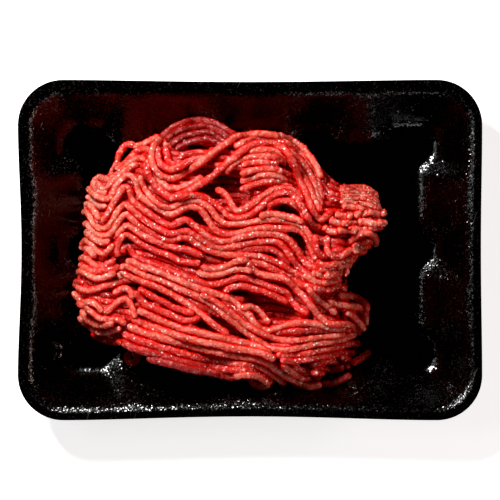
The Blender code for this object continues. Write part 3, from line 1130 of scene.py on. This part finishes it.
def lay(name, count, *routes, broken=None, girth=1.0, shift=(0,)):
    """Lays this many strands, spread evenly between the routes, whole or broken.

    The shift is added to their tone, and paints light and shade: below 0 it is painted shade, and above 0 it
    is painted light, which above a tone of 1 is partly fatter meat too. It is a few values, spread evenly
    from one end to the other. If they are broken, that gives the length of the shortest and the longest piece
    in millimetres.
    """
    routes = np.array(routes, dtype=float) * MM + HEAP_PLACE
    bundle = []
    for i in range(count):
        place = i / max(1, count - 1) * (len(routes) - 1)
        k = min(int(place), len(routes) - 2) if len(routes) > 1 else 0
        last = routes[min(k + 1, len(routes) - 1)]
        path = smooth_path(routes[k] + (last - routes[k]) * (place - k))
        bundle.append(wander(path, WOBBLE, 7 * MM, draw.integers(500)))
    heights = [resting_height(path, RADIUS) for path in bundle]
    tone = draw.uniform(0.15, 0.85)
    for path, height in zip(bundle, heights):
        places = np.linspace(0, len(shift) - 1, len(path))
        shade = np.clip(tone + draw.uniform(-0.25, 0.25), 0, 1)
        shade = shade + np.interp(places, range(len(shift)), shift)
        radius = girth * RADIUS * draw.uniform(0.95, 1.06)
        if broken:
            for piece in broken_up(path, *broken):
                uneven = radius * draw.uniform(0.88, 1.08)
                tone_here = shade.mean() + draw.uniform(-0.3, 0.2)
                top_strands.add(piece, radius=uneven, tone=tone_here, rough=1.3, blunt=0.25)
        else:
            top_strands.add(path, radius=radius, tone=shade, rough=1.25, height=height)


def broken_up(path, shortest, longest):
    """The path in short pieces, each turned and moved a little, with lengths between these in millimetres."""
    place = 0
    while place < len(path) - 4:
        count = int(draw.uniform(shortest, longest) * MM / STEP)
        piece = path[place:place + count + 3].copy()
        if len(piece) > 4:
            turn = draw.normal(0, 0.05)
            middle = piece.mean(axis=0)
            turned = (piece - middle) @ np.array([[math.cos(turn), math.sin(turn)],
                                                  [-math.sin(turn), math.cos(turn)]])
            yield middle + turned + draw.normal(0, 0.2 * MM, 2)
        place += count


print("ready to lay strands up to", round(HIGH[2] / MM, 1), "mm")

# %% [markdown]
# ### The back
#
# The back of the heap fell first: short arcs at the back edge, then rows that bend down to the right.

# %% The back
top_strands = Batch("back_strands")
# The shifts below paint shade where they are below 0 and light where they are above 0.
lay("back arcs", 4, [(-44, 55.5), (-39, 60), (-32, 63.5), (-25, 64.8), (-18, 63.3), (-12, 59.5),
    (-6, 55)], [(-36, 49.3), (-32.5, 51.2), (-28.5, 52.7), (-24, 53.8), (-20, 54), (-17, 53),
    (-13, 50.5)], shift=(-1,))
lay("hollow wisp", 1, [(-35, 43.8), (-32, 46.3), (-29, 46.5), (-26, 44.7), (-22, 44)], shift=(-0.9,))
lay("inner bend", 1, [(-41, 50.5), (-40.3, 46.5), (-39.3, 43), (-36.5, 41.8), (-33, 43.5)], shift=(-0.4,))
lay("back rows", 4, [(-4.3, 40.8), (-1.5, 42), (3, 42.5), (7, 42.4), (10.5, 42.2), (13.5, 41.9)],
    [(-5.3, 29.5), (-1, 31.2), (4, 32.9), (9, 33.7), (15, 33), (20, 30)])
lay("back rows upper", 2, [(-8, 43.5), (-4, 46.3), (0, 48.2), (5, 49), (10, 48.7), (15, 47.3),
    (18.5, 44.5), (21, 40.5)], [(-12.3, 37.5), (-8, 41.5), (-4.5, 43.8), (-1, 45.2), (4, 45.8), (9, 45.6),
    (13.5, 44.5), (17, 42)])
lay("back row outer", 1, [(-8, 50), (-4, 52), (1, 54), (6, 54.8), (11, 54.5), (16, 53), (21, 51)])
lay("shoulder", 4, [(33, 42), (36, 37.5), (40, 33.8), (45, 31.5), (50, 31)], [(34, 31), (36, 27.5),
    (39, 25.5), (43, 24.5), (48, 24)], shift=(-0.55,))
lay("low dark one", 1, [(-8, 0.3), (0, 1.3), (6, 1.5), (11, 0.5), (15, -2.5), (19, -6.5)], shift=(-0.7,))
lay("low dark two", 1, [(12, -39.5), (22, -38.2), (32, -38), (42, -39)], shift=(-0.7,))
lay("mid diagonal", 1, [(-14, -23.8), (-9, -27), (-4.5, -30.5), (-1, -33.5), (3, -37)], shift=(-0.5,))
lay("steep bundle", 3, [(12, 53.5), (18, 52.3), (23, 49.8), (27, 46), (30, 41.5), (32, 36.5),
    (33.3, 30.5), (34.5, 24.5)], [(15, 49), (18.7, 45.5), (21.8, 41.5), (24.8, 37.5), (27.5, 33),
    (29.8, 28), (31.5, 23.5), (33.5, 19)], shift=(-0.3,))
top_strands.finish()

# %% [markdown]
# ### Chevrons
#
# At the left the strands come up out of tight curls, turn over in a point, and run to the right in long
# waves. Neighbours follow one another closely.

# %% Chevrons
top_strands = Batch("chevron_strands")
# The shifts below paint light where they are above 0 and shade where they are below 0.
lay("loose loop", 1, [(-68, 37), (-66.7, 42), (-65.3, 48), (-62.5, 52.3), (-59, 53), (-56, 51)])
lay("tip strand", 1, [(-58, 51.2), (-53.5, 53), (-49, 55.2), (-45, 56.8)])
lay("high left", 1, [(-66, 38.5), (-62, 43), (-58.5, 47.5), (-55, 50), (-51, 50.3), (-48, 48)])
lay("curl one", 1, [(-78.5, 31.5), (-77.5, 35), (-74.7, 37), (-71.5, 35.6), (-68, 35.2), (-64.5, 37),
    (-61, 40), (-57.5, 43.5), (-54, 45.3), (-50.5, 44.5)], shift=(0.6, 0.4, 0))
lay("curl two", 1, [(-75.5, 34), (-72.8, 31.3), (-70, 30), (-67.5, 32.2), (-65, 35), (-61.5, 38),
    (-57.5, 40.8), (-54, 42.3)], shift=(0.6, 0.4, 0))
lay("curl three", 1, [(-78, 32), (-75, 29.3), (-71.5, 28), (-69, 29)], shift=(0.6,))
lay("chevron a", 1, [(-80, 31.5), (-77.5, 28.8), (-74.5, 26.8), (-70, 25.3), (-67, 26.8), (-64.8, 30.5),
    (-62.3, 34.3), (-58.7, 36.6), (-55.7, 34.5), (-54.3, 29.5), (-51.5, 25.7), (-48, 22.7), (-44, 20.2),
    (-40.3, 18.2), (-37, 18), (-33.5, 19.8), (-29.5, 21.2), (-25, 20.3), (-21.5, 16.8), (-18.5, 12),
    (-15, 9), (-11, 8.2), (-6, 9), (0, 10.5), (6, 11.3), (14, 11), (21, 10.6), (25.3, 8.7), (28, 4.5),
    (29.7, -0.5), (32, -4.3)], shift=(0.6, 0.4, 0.1, -0.1, 0, 0))
lay("chevron b", 1, [(-82, 27), (-79.5, 26.3), (-76, 23.7), (-72, 22), (-69, 22)], shift=(1,))
lay("chevron c", 2, [(-82.3, 23.7), (-79.3, 23), (-76.7, 20.5), (-74.5, 17.5), (-72.7, 15.2)],
    [(-82.3, 22.5), (-79.3, 21), (-77.3, 18.2), (-75.3, 15.3), (-73.7, 14)], shift=(1,))
lay("chevron d", 1, [(-71.3, 14), (-69, 17.3), (-66.8, 21.5), (-64.3, 26), (-62, 29.5), (-59.8, 31),
    (-58, 29), (-56.8, 25), (-53.7, 21.8), (-50, 19), (-45, 15.8), (-41, 13.3), (-38, 12.5),
    (-34.5, 14.2), (-30.8, 15.3), (-27.5, 12.5), (-23, 9.3), (-19, 6.3), (-15, 4.7), (-10, 5), (-4, 7),
    (2, 8.2), (9, 8.3), (15, 7.3), (19, 4.7), (22, 1), (24.5, -3), (28, -6.7), (33, -8.7), (39, -9.7),
    (46, -9)], shift=(0.3, 0.1, -0.2, -0.5, 0, 0, 0, -0.2, -0.4))
lay("chevron e", 1, [(-83, 19.2), (-80.5, 19.3), (-78, 16.8), (-75.7, 13), (-72.5, 11.2), (-69, 11.5),
    (-66.3, 14.7), (-63.8, 19.7), (-60.7, 22.6), (-57.5, 20.7), (-53, 16.5), (-48, 13), (-42, 9.8),
    (-37.5, 8.6), (-33, 9.5), (-29.5, 9.5), (-25, 6.5), (-20.5, 3.7), (-15, 1.7), (-9, 2), (-3, 3.7),
    (4, 4.7), (10, 4.8), (14, 3.5), (17.5, 0), (20, -4), (23, -7.7), (28, -10.7), (34, -12.5),
    (40, -13.3)], shift=(0.8, 0.6, 0.1, -0.5, -0.1, 0, 0, -0.4, -0.8))
lay("chevron f", 1, [(-82.7, 13.7), (-80, 13.3), (-76.3, 9.8), (-72.5, 7.9), (-69, 7.8), (-66, 10),
    (-63.5, 14.5), (-60, 17.9), (-57, 15.7), (-52.5, 11.7), (-47, 8.4), (-41.5, 6), (-37, 5.5),
    (-33, 6.7), (-29.5, 6.2), (-25, 2.7), (-20.5, 0.5), (-14, -1.2), (-7, -1.8), (0, -1.8), (6, -2.5),
    (11, -4.5), (16, -7), (22, -10.7), (28, -13.7), (35, -15.3), (42, -16)],
    shift=(0.7, 0.5, 0.1, -0.6, -0.1, 0, -0.2, -0.6, -0.9))
lay("end wave e7", 1, [(0, -4.3), (5, -6), (10, -8), (16, -10.5), (22, -14), (28, -17.3), (35, -19)],
    shift=(-0.2, -0.9))
lay("chevron g", 1, [(-81.3, 10), (-78.5, 8.3), (-75, 5.7), (-71, 4.5), (-67.5, 5.3)], shift=(0.6,))
top_strands.finish()

# %% [markdown]
# ### Crests
#
# Towards the front lie the strands of the middle. They start in small loops at the left edge and run down
# to the right.

# %% Crests
top_strands = Batch("middle_strands")
# The shifts below paint light where they are above 0 and shade where they are below 0.
lay("crest h", 1, [(-63.8, 6.5), (-62.8, 10), (-60, 12.6), (-57, 11.2), (-52.5, 8), (-47, 5.4), (-41, 3),
    (-35.5, 1.8), (-30, 0.7), (-26, -1), (-23, -2.3)], shift=(0.2, 0, -0.5, -0.3))
lay("crest i", 1, [(-63.3, -2.5), (-64, 1), (-62.8, 5.2), (-59.8, 7.9), (-56.5, 6.2), (-52, 3.2),
    (-47, 1.2), (-42, -0.8), (-38, -2.5), (-34, -4.7), (-29, -5.5), (-24, -5.5)],
    shift=(0, 0, -0.4, -0.5, -0.1))
lay("side c1", 1, [(-84, 0.5), (-83, 4), (-80.5, 5.6), (-77.5, 3.7), (-74.5, 0.7), (-71, -1.1),
    (-68.3, 0.5), (-65.5, 3.5)], shift=(0.9, 0.2))
lay("side c2", 1, [(-81, 1.3), (-79, 1), (-76.7, -1), (-74.5, -3)], shift=(0.5,))
lay("side c3", 1, [(-84.5, -3.7), (-82, -2.9), (-78.7, -3.7), (-75.5, -6.3), (-72, -7.2), (-68.5, -6),
    (-65, -4.3)], shift=(0.7, -0.2))
lay("side c4", 1, [(-84, -6.2), (-81, -7.7), (-77, -9.5), (-72, -9.8), (-67, -8.5), (-63, -7)],
    shift=(0.7, -0.2))
lay("side c5", 1, [(-85, -9.6), (-82, -9.8), (-78, -11.6), (-73.5, -12.8), (-69, -12), (-64.5, -10.2)],
    shift=(0.4,))
lay("side c6", 2, [(-87.3, -15.2), (-84.5, -14.7), (-82.5, -14.8), (-81, -15)], [(-87.3, -15.8),
    (-84.5, -17.3), (-82.5, -18), (-80, -18.4)], shift=(-0.3,))
lay("side c6 long", 1, [(-84.5, -17.5), (-80, -18.6), (-75, -18.2), (-70, -16.8), (-65, -14.9),
    (-60, -13.7), (-56.5, -14.3)])
print(top_strands.strands, "strands of the middle so far")

# %% [markdown]
# ### Long waves
#
# The longest strands cross the whole middle of the heap in slow waves, side by side, and a few shorter ones
# ride on them.

# %% Long waves
lay("crest j", 1, [(-61.3, -1.2), (-61.2, 1.6), (-59.2, 2.5), (-57.5, 0.3), (-55.3, -2.7), (-51, -4.7),
    (-45, -6.8), (-39, -9), (-33, -11.6), (-27, -13.9), (-22, -15.5), (-17, -15.8), (-11.5, -14.3),
    (-6, -12.8), (-1, -13), (4, -14.8), (9, -16.8), (14, -18.3), (18, -20.3), (20.3, -24.3),
    (23.5, -27.8), (28, -30)])
lay("side d2", 1, [(-60.3, -5), (-57, -4.9), (-53, -6.9), (-48, -8.3), (-42, -10.7), (-36, -13.3),
    (-30, -15.5), (-24, -18), (-18, -20), (-12, -22.3), (-7, -24.8), (-4, -28), (-0.5, -31), (2.5, -35),
    (7, -38.2), (13, -37), (19, -35), (25, -34.2), (31, -34.8), (38, -36.8), (46, -38)])
lay("side d3", 1, [(-63, -8.5), (-60.5, -7.3), (-56.5, -8.9), (-51, -11.5), (-45, -13.2), (-39, -15.7),
    (-33, -18.5), (-27, -21), (-21, -24.2), (-16, -27.8), (-11, -32), (-6, -36), (-0.5, -40.2),
    (5, -43.8), (10, -46.5), (16, -47.3), (24, -46), (32, -44.5), (41, -43), (52, -41.2)])
lay("side d4", 1, [(-61.5, -13), (-63.2, -11.4), (-61, -10.5), (-57, -12.4), (-52, -14.8), (-46, -16.8),
    (-40, -19.7), (-34, -23), (-28, -26.8), (-22, -31.3), (-16, -36.3), (-10.7, -40)])
lay("mid wave", 1, [(-24, -7.3), (-20, -8.3), (-15, -8), (-11, -6.6), (-7, -4.8), (-3.5, -4.2),
    (-1, -5.5), (1.5, -8.5), (5, -11), (11, -12), (16, -12.8), (20, -16), (24, -20.2), (28, -25),
    (32, -30), (36.5, -34), (42, -35.2), (47, -35.4), (51, -37.2), (54.7, -41.5)])
lay("mid under", 1, [(-26, -9.8), (-20, -11.4), (-15, -11), (-9, -9.3), (-3, -8.7), (1, -10)])
lay("low wave", 1, [(-13, -19), (-9, -17.5), (-3, -16.8), (3, -18.5), (9, -20.5), (14, -22.5), (18, -25)],
    shift=(-0.3,))
lay("wave top", 1, [(-53, 36.5), (-51.5, 31.5), (-49, 27.5), (-45, 23.5), (-41, 21.2), (-37.5, 21.2),
    (-33, 23.3), (-28, 24.2), (-23, 23), (-19, 19.8), (-16, 15.8), (-12, 13.3), (-6, 13.2), (1, 14.2),
    (8, 15), (16, 14.7), (22, 13.4), (26, 10.7), (28.8, 6.7), (30.5, 2), (33, -1.8)])
lay("wave top thin", 1, [(4, 16.8), (10, 17.8), (16, 17), (21, 15.8), (25.5, 13.8)])
top_strands.finish()

# %% [markdown]
# ### Bends that cross
#
# The last strands at the back cross over the rest in wide bends and low arches.

# %% Bends
top_strands = Batch("crossing_strands")
# The shifts below paint shade where they are below 0.
lay("inner U", 1, [(-44.6, 50.5), (-44.6, 46), (-42.8, 41.8), (-38.7, 39.3), (-34.8, 40.3), (-30, 42.7),
    (-26, 44.1), (-22, 44.8)], shift=(-0.3, -0.3, 0))
lay("outer U short", 1, [(-49.2, 44.5), (-47.2, 39), (-43.8, 34), (-40.3, 30.9), (-37, 30.1), (-32, 31.3),
    (-27, 33.7), (-23, 36.5)])
lay("crossing one", 1, [(-44.3, 56), (-47, 49.5), (-47.5, 44.5), (-45.3, 39), (-42, 36), (-38.5, 35.1),
    (-34, 36.5), (-29, 39.5), (-24, 42.5), (-20, 45.5), (-15.5, 49.3), (-11, 52.5), (-6.5, 55.5),
    (-1, 56.8), (6, 57.3), (13, 56.5), (20, 55.3), (25, 51.5), (29, 46.5), (32, 41.5), (34, 35.5)])
lay("crossing two", 1, [(-50, 40.5), (-47, 34), (-43, 29), (-38, 25.9), (-33, 27.3), (-27, 30.8),
    (-21, 34.8), (-15, 39.2), (-9.5, 43.5), (-5, 47.7), (0, 51), (6, 52.3), (12, 51.7), (16.5, 49),
    (20.2, 43.5), (22.7, 37.5), (24.8, 32), (27.3, 26.5), (29.8, 20), (32.7, 16), (35.2, 16),
    (38.7, 19.8)])
lay("inner arch", 1, [(8, 21), (12, 23.5), (17, 24.3), (21, 22.5), (24.2, 19.5), (26.2, 15.5)])
lay("arch upper", 1, [(-17, 30), (-13, 28.5), (-10.6, 25.5), (-9, 21.8), (-6.3, 19.3), (-3, 20.3),
    (1, 22.9), (6, 26.8), (11, 29.5), (16, 30.1), (21, 28.8), (25, 24.5)])
lay("arch lower", 1, [(-36, 26), (-29, 27.1), (-22, 25.9), (-17.5, 23.2), (-13.5, 19.5), (-10.3, 16.8),
    (-7, 15.8), (-3, 16.3), (1, 18.3), (5, 21.5), (9, 25.2), (13, 27.8), (18, 28.1), (22, 25.2),
    (25, 20.5), (27.5, 15.5), (31, 12), (34, 11.5)])
top_strands.finish()

# %% [markdown]
# ### The right end
#
# Here the mince was cut off: a butt of short, blocky, broken pieces on a bed of strands, with torn waves in
# front of it. The tones of the broken pieces are shifted up: the meat is partly fatter here and partly
# painted light. The butt end bed and the under tip are shifted down, as painted shade. But for wave two and
# the beds, most places in these routes were converted to millimetres by another program, from places read
# by eye.

# %% Right end
top_strands = Batch("end_strands")
lay("end wave two", 1, [(30.8, 8), (30.8, 2.7), (32.8, -1.2), (36.5, -1.5), (40, 0), (44, 0.3),
    (48, -0.8)])
lay("end wave four", 1, [(29, -10.5), (35.5, -11.8), (41.9, -10.6), (46.9, -10)], broken=(5, 11),
    shift=(0.3,))
lay("end wave five", 1, [(25.3, -11.3), (32.3, -14.5), (39.3, -14.8), (43.8, -13.5)], broken=(5, 11),
    shift=(0.3,))
lay("end wave six", 1, [(24, -15.7), (31, -17.6), (38, -18.3), (43.1, -17), (46.9, -18.9)],
    broken=(5, 11), shift=(0.3,))
lay("end wave three", 1, [(32.3, -8.7), (38, -8.7), (43.8, -7.5), (48.9, -6.8)], broken=(5, 11),
    shift=(0.3,))
lay("end wave one", 2, [(36.5, 7.7), (36.6, 1.3), (39, -2), (43.1, -2.4), (48.2, 0.6), (52.4, -1.1)],
    [(31.5, -4.5), (34.2, -6.2), (38, -6.5), (41.5, -5.6), (45, -4.6), (50.1, -4)])
lay("under tip", 3, [(48.9, 2.4), (53.3, 3.7), (57.1, 5), (60.3, 5)], [(49.4, -0.6), (51.4, 0.2),
    (54.6, -0.3), (57.1, 0.2)], shift=(-0.3,))
for bed in range(3):
    lay("butt end bed", 3, [(55, 28.5), (56, 24), (56.5, 17), (56, 10.5)], [(60.3, 27), (61.5, 23),
        (62.3, 17), (61.5, 11)], shift=(-0.5,))
lay("butt bed", 6, [(47, 29), (51, 29.5), (56, 29), (60.5, 26.5)], [(47, 10.5), (52, 10.5), (58, 11),
    (64, 12)])
lay("butt top", 6, [(43.4, 31.2), (46.9, 31.6), (50.8, 32), (55.9, 31.8), (59.7, 29.8), (61.1, 27.6)],
    [(43.4, 22.9), (47.6, 23.6), (52, 23.6), (57.1, 22.8), (61.6, 20.4), (64.3, 18)], broken=(6, 16),
    girth=0.72, shift=(1,))
lay("butt row six", 1, [(34.5, 12), (38, 10.1), (42.5, 10.1), (46.9, 10.1), (51.4, 10.5), (57.1, 11),
    (63.2, 11.3)], broken=(4, 9), girth=1, shift=(0.9,))
lay("butt row five", 1, [(37.7, 15.1), (41.9, 13.4), (46.9, 13.4), (52, 14.1), (57.1, 14.1),
    (64.1, 13.4)], broken=(4, 9), girth=1.05, shift=(0.9,))
lay("butt row four", 1, [(40.6, 18.5), (45, 16.9), (49.5, 16.9), (52.7, 18.1), (57.1, 18.5), (62.2, 17.7),
    (65, 18)], broken=(4, 8), girth=1.05, shift=(0.9,))
lay("butt row three", 1, [(43.8, 22.3), (48.2, 21.7), (52, 21.3), (54.3, 20)], broken=(5, 8), girth=1.05,
    shift=(0.7,))
lay("tip curl", 1, [(46.9, 4), (50.1, 6.7), (54.6, 8.5), (59, 8.1), (61.5, 5.9), (62.4, 2.7)])
print(top_strands.strands, "strands of the end so far")

# %% [markdown]
# ### Ends in front of the notch
#
# In front of a notch the strands come out again in tight bends, and the long rows end one beneath another
# in loose tips.

# %% Ends in front
# The shifts below paint shade where they are below 0.
lay("end bed", 3, [(44, -27), (49, -30), (52, -34), (53.5, -38)], [(51, -26.5), (54.5, -29), (55.5, -33),
    (55, -38)], shift=(-0.6,))
lay("end k2", 1, [(27, -17), (30, -20.5), (33.5, -24), (37.5, -27.2), (41.3, -30.3)])
lay("end k3", 1, [(37, -24), (42, -25.8), (47, -26.6), (52, -27.3), (55.5, -29), (57, -32.5),
    (56.5, -37)])
lay("end k4", 1, [(46, -29.3), (49, -31), (52.2, -33.7), (54.7, -37), (56, -39.3)])
lay("end k5", 1, [(42, -20.5), (46, -22), (50, -22.3), (53.5, -23.5), (56.7, -26), (57.7, -30)])
lay("row n1", 1, [(-24, -20), (-17, -24), (-11, -28.5), (-5, -33.5), (0, -36.5), (9, -41), (15, -42.7),
    (22, -42.8), (30, -42), (38, -41), (46, -40.3)], shift=(-0.3,))
lay("row n2", 1, [(12, -49.8), (18, -50.3), (26, -49.2), (34, -47.8), (42, -46.8), (50, -45.7),
    (54.5, -45.8)])
lay("row n3", 1, [(14, -52), (22, -52.5), (30, -51.3), (38, -50.7), (46, -50.2), (52, -50.8)],
    shift=(-0.5,))
lay("row n4", 1, [(29, -55), (35, -53.8), (41, -54), (45, -55.8), (49, -57.7)], shift=(-0.6,))
lay("row n5", 1, [(44, -51.5), (47, -53), (50, -55.8)], shift=(-0.5,))
lay("row n6", 1, [(31, -56.5), (36, -58.2), (41, -58.7), (46, -57)], shift=(-0.6,))
lay("row n7", 1, [(19, -55.8), (25, -57.5), (31, -58.8), (36, -60)], shift=(-0.7,))
lay("row n8", 1, [(15, -54.5), (20, -58.5), (25, -61.7), (30, -63), (34, -61.7)], shift=(-0.6,))
lay("far piece", 1, [(35, -65), (40, -65), (44, -63.5), (49.3, -60.3)], shift=(-0.9,))
lay("loose tip", 1, [(50, -55.3), (54, -53.3), (57, -51.3), (59.5, -49.3)], shift=(-0.6,))
top_strands.finish()

# %% [markdown]
# ### The front
# A belt of long strands, nearly straight, closes the heap at the front. It lies on a bed of strands painted
# darker, as shade. Most of the belt's strands are painted somewhat darker too, as shade.

# %% Front
top_strands = Batch("front_strands")
for bed in range(2):
    lay("belt bed", 4, [(-60, -42), (-50, -45.5), (-40, -48.5), (-30, -51.5), (-20, -54), (-10, -55.5),
        (0, -56)], [(-55, -47.5), (-45, -50.5), (-35, -53.5), (-27, -55.8), (-18, -57.8), (-10, -58.8),
        (0, -59)], shift=(-0.9,))
lay("belt p1", 1, [(-54.5, -28), (-48, -31), (-41, -34), (-34, -36.8), (-27, -38.3), (-19, -40.2),
    (-11, -42.3), (-3, -43.8), (4, -46), (10, -49)], girth=1.12)
lay("belt p2", 1, [(-57, -32), (-50, -35.2), (-42, -38), (-34, -40.6), (-26, -42.5), (-18, -44.2),
    (-10, -45.8), (-2, -47.3), (5, -48.8), (12, -51.5)], girth=1.12, shift=(-0.3, 0))
lay("belt p3", 1, [(-59, -35.5), (-52, -38.5), (-44, -41), (-36, -43.3), (-28, -45.6), (-20, -47.4),
    (-12, -49), (-4, -50.6), (4, -52), (9, -54.2), (14, -58), (19, -61.8), (25, -65.2), (30, -66.3),
    (35, -65.5)], girth=1.12, shift=(-0.2, -0.2, 0))
lay("belt p4", 1, [(-61.3, -39.3), (-55, -42), (-48, -44.2), (-40, -46.8), (-32, -49.3), (-24, -51.6),
    (-16, -53), (-8, -54.1), (0, -54.6), (5, -56), (10, -59.3), (14, -62.5), (17.5, -65)], girth=1.12,
    shift=(-0.3, -0.3, 0))
lay("belt p5", 1, [(-62, -43.5), (-56, -46.3), (-49, -48), (-42, -50), (-34, -52.5), (-26, -54.8),
    (-18, -56.2), (-10, -57.2), (-2, -57.2), (4, -58.8), (8.5, -62), (11, -64.5)], girth=1.12,
    shift=(-0.6, -0.6, -0.2))
lay("belt p6", 1, [(-50, -51), (-43, -52.5), (-35, -54.7), (-28, -56.7), (-20, -58.2), (-13, -59.8),
    (-7, -60.8)], girth=1.12, shift=(-0.8,))
lay("belt curl", 1, [(-8, -60.6), (-3, -59.3), (2, -60), (6, -62.3), (8, -64.7), (5.7, -66), (2, -64.8),
    (-0.5, -62.3)])
print(top_strands.strands, "strands of the front so far")

# %% [markdown]
# ### Curls at the front left
#
# Where the belt begins, strands end in curls, and one loose ring lies in the tray.

# %% Front left
# The shifts below paint light where they are above 0 and shade where they are below 0.
lay("q1", 1, [(-88.3, -20), (-85.5, -22.3), (-81.5, -24.3), (-77, -24.5), (-73.7, -26.3), (-71, -29.3)],
    shift=(0.3,))
lay("q arch", 1, [(-70, -29.8), (-67, -27), (-64, -24.3), (-60.7, -23), (-58, -24.7), (-56.2, -28),
    (-55, -32)])
lay("q3", 1, [(-84, -24.5), (-80, -27), (-76, -29.7), (-72.5, -32), (-68, -32.5), (-63.5, -32.7),
    (-59.5, -34.7)])
lay("q4", 1, [(-83.2, -28.3), (-81.5, -31.3), (-78, -34.3), (-74, -35.8), (-69.5, -35.5), (-65.5, -34)],
    shift=(0.3,))
lay("q5", 1, [(-84, -31.7), (-82, -35), (-78.5, -37.8), (-74, -39.8), (-70, -39.8), (-66, -37.7),
    (-62, -36.7)], shift=(0.3,))
lay("q6", 1, [(-78, -41), (-75, -43.3), (-71, -44.8), (-66, -44.3), (-62, -43.5)])
lay("curl q7", 1, [(-66, -20.7), (-62.5, -18.3), (-59.5, -17.8), (-57.3, -19.7), (-56.2, -23)])
lay("curl q8", 2, [(-55.8, -19), (-53.5, -22), (-50, -25.5), (-45, -28), (-39.5, -30), (-34, -32.5),
    (-29, -33), (-24.5, -31.7)], [(-54, -17.5), (-51, -19.7), (-47, -22), (-43, -24), (-39, -26),
    (-35, -27.7), (-31, -29), (-27, -29.5)])
lay("ring", 1, [(-58.5, -50), (-56.5, -51), (-56.3, -53.5), (-58.3, -55), (-60.7, -53.8), (-60.7, -51.3),
    (-59, -50)], shift=(-0.9,))
lay("g4", 1, [(-5, -27.3), (-1, -26.6), (2.7, -27.5), (5.3, -30), (7.5, -33), (9.3, -35)])
top_strands.finish()

# %% [markdown]
# ## Crumbs
#
# Where strands tore, crumbs of meat lie loose: little lumps of one or two millimetres. A particle system
# would scatter them anywhere, but they belong where the meat tore. So they fall on a few patches. Each is a
# small ball pushed out of round, and it rests on whatever the map says is under it.

# %% Crumbs
def crumb_shape():
    """Points and faces of a ball of radius 1."""
    ball = bmesh.new()
    bmesh.ops.create_icosphere(ball, subdivisions=2, radius=1)
    points = np.array([v.co for v in ball.verts])
    faces = [[v.index for v in face.verts] for face in ball.faces]
    ball.free()
    return points, faces


def make_crumbs(patches):
    """Crumbs scattered over these patches: middle, half sizes, turn and how many."""
    ball, ball_faces = crumb_shape()
    points, faces, tones = [], [], []
    for middle_x, middle_y, half_x, half_y, turn, count in patches:
        for i in range(count):
            u, v = draw.uniform(-1, 1, 2)
            c, s = math.cos(math.radians(turn)), math.sin(math.radians(turn))
            x = (middle_x + u * half_x * c - v * half_y * s) * MM + HEAP_PLACE[0]
            y = (middle_y + u * half_x * s + v * half_y * c) * MM + HEAP_PLACE[1]
            size = draw.uniform(0.3, 0.75) * MM
            place = np.array((x, y, laid.at(np.array([x]), np.array([y]))[0] - 0.3 * size))
            shape = ball * size * draw.uniform(0.7, 1.5, 3)
            shape = shape * (1 + 0.35 * LUMPS.at(shape + i * 7 * MM, 0.8 * MM))[:, None]
            faces += [[k + len(points) * len(ball) for k in face] for face in ball_faces]
            points.append(shape + place)
            tones.append(np.full(len(ball), draw.uniform(0.3, 1)))
    crumbs = make_piece("crumbs", np.concatenate(points), faces, RAW_MINCE)
    keep_values(crumbs, "tone", np.concatenate(tones))
    # crown: the height on the crumb's ball, from which the finish paints light on its top and shade on its
    # flanks.
    keep_values(crumbs, "crown", np.tile(ball[:, 2], len(points)))
    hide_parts("mince_heap")
    print("crumbs", len(points), "lumps,", len(faces), "triangles")


make_crumbs([
    (53, 27.5, 9, 4, -10, 80), (55, 16, 10, 5, 0, 30), (45, -3, 6, 3, 10, 20), (41, -13, 7, 5, -10, 40),
    (44, -22, 5, 4, -20, 20), (36, -26, 6, 4, -30, 12), (51, -46, 3, 6, 0, 8),
])
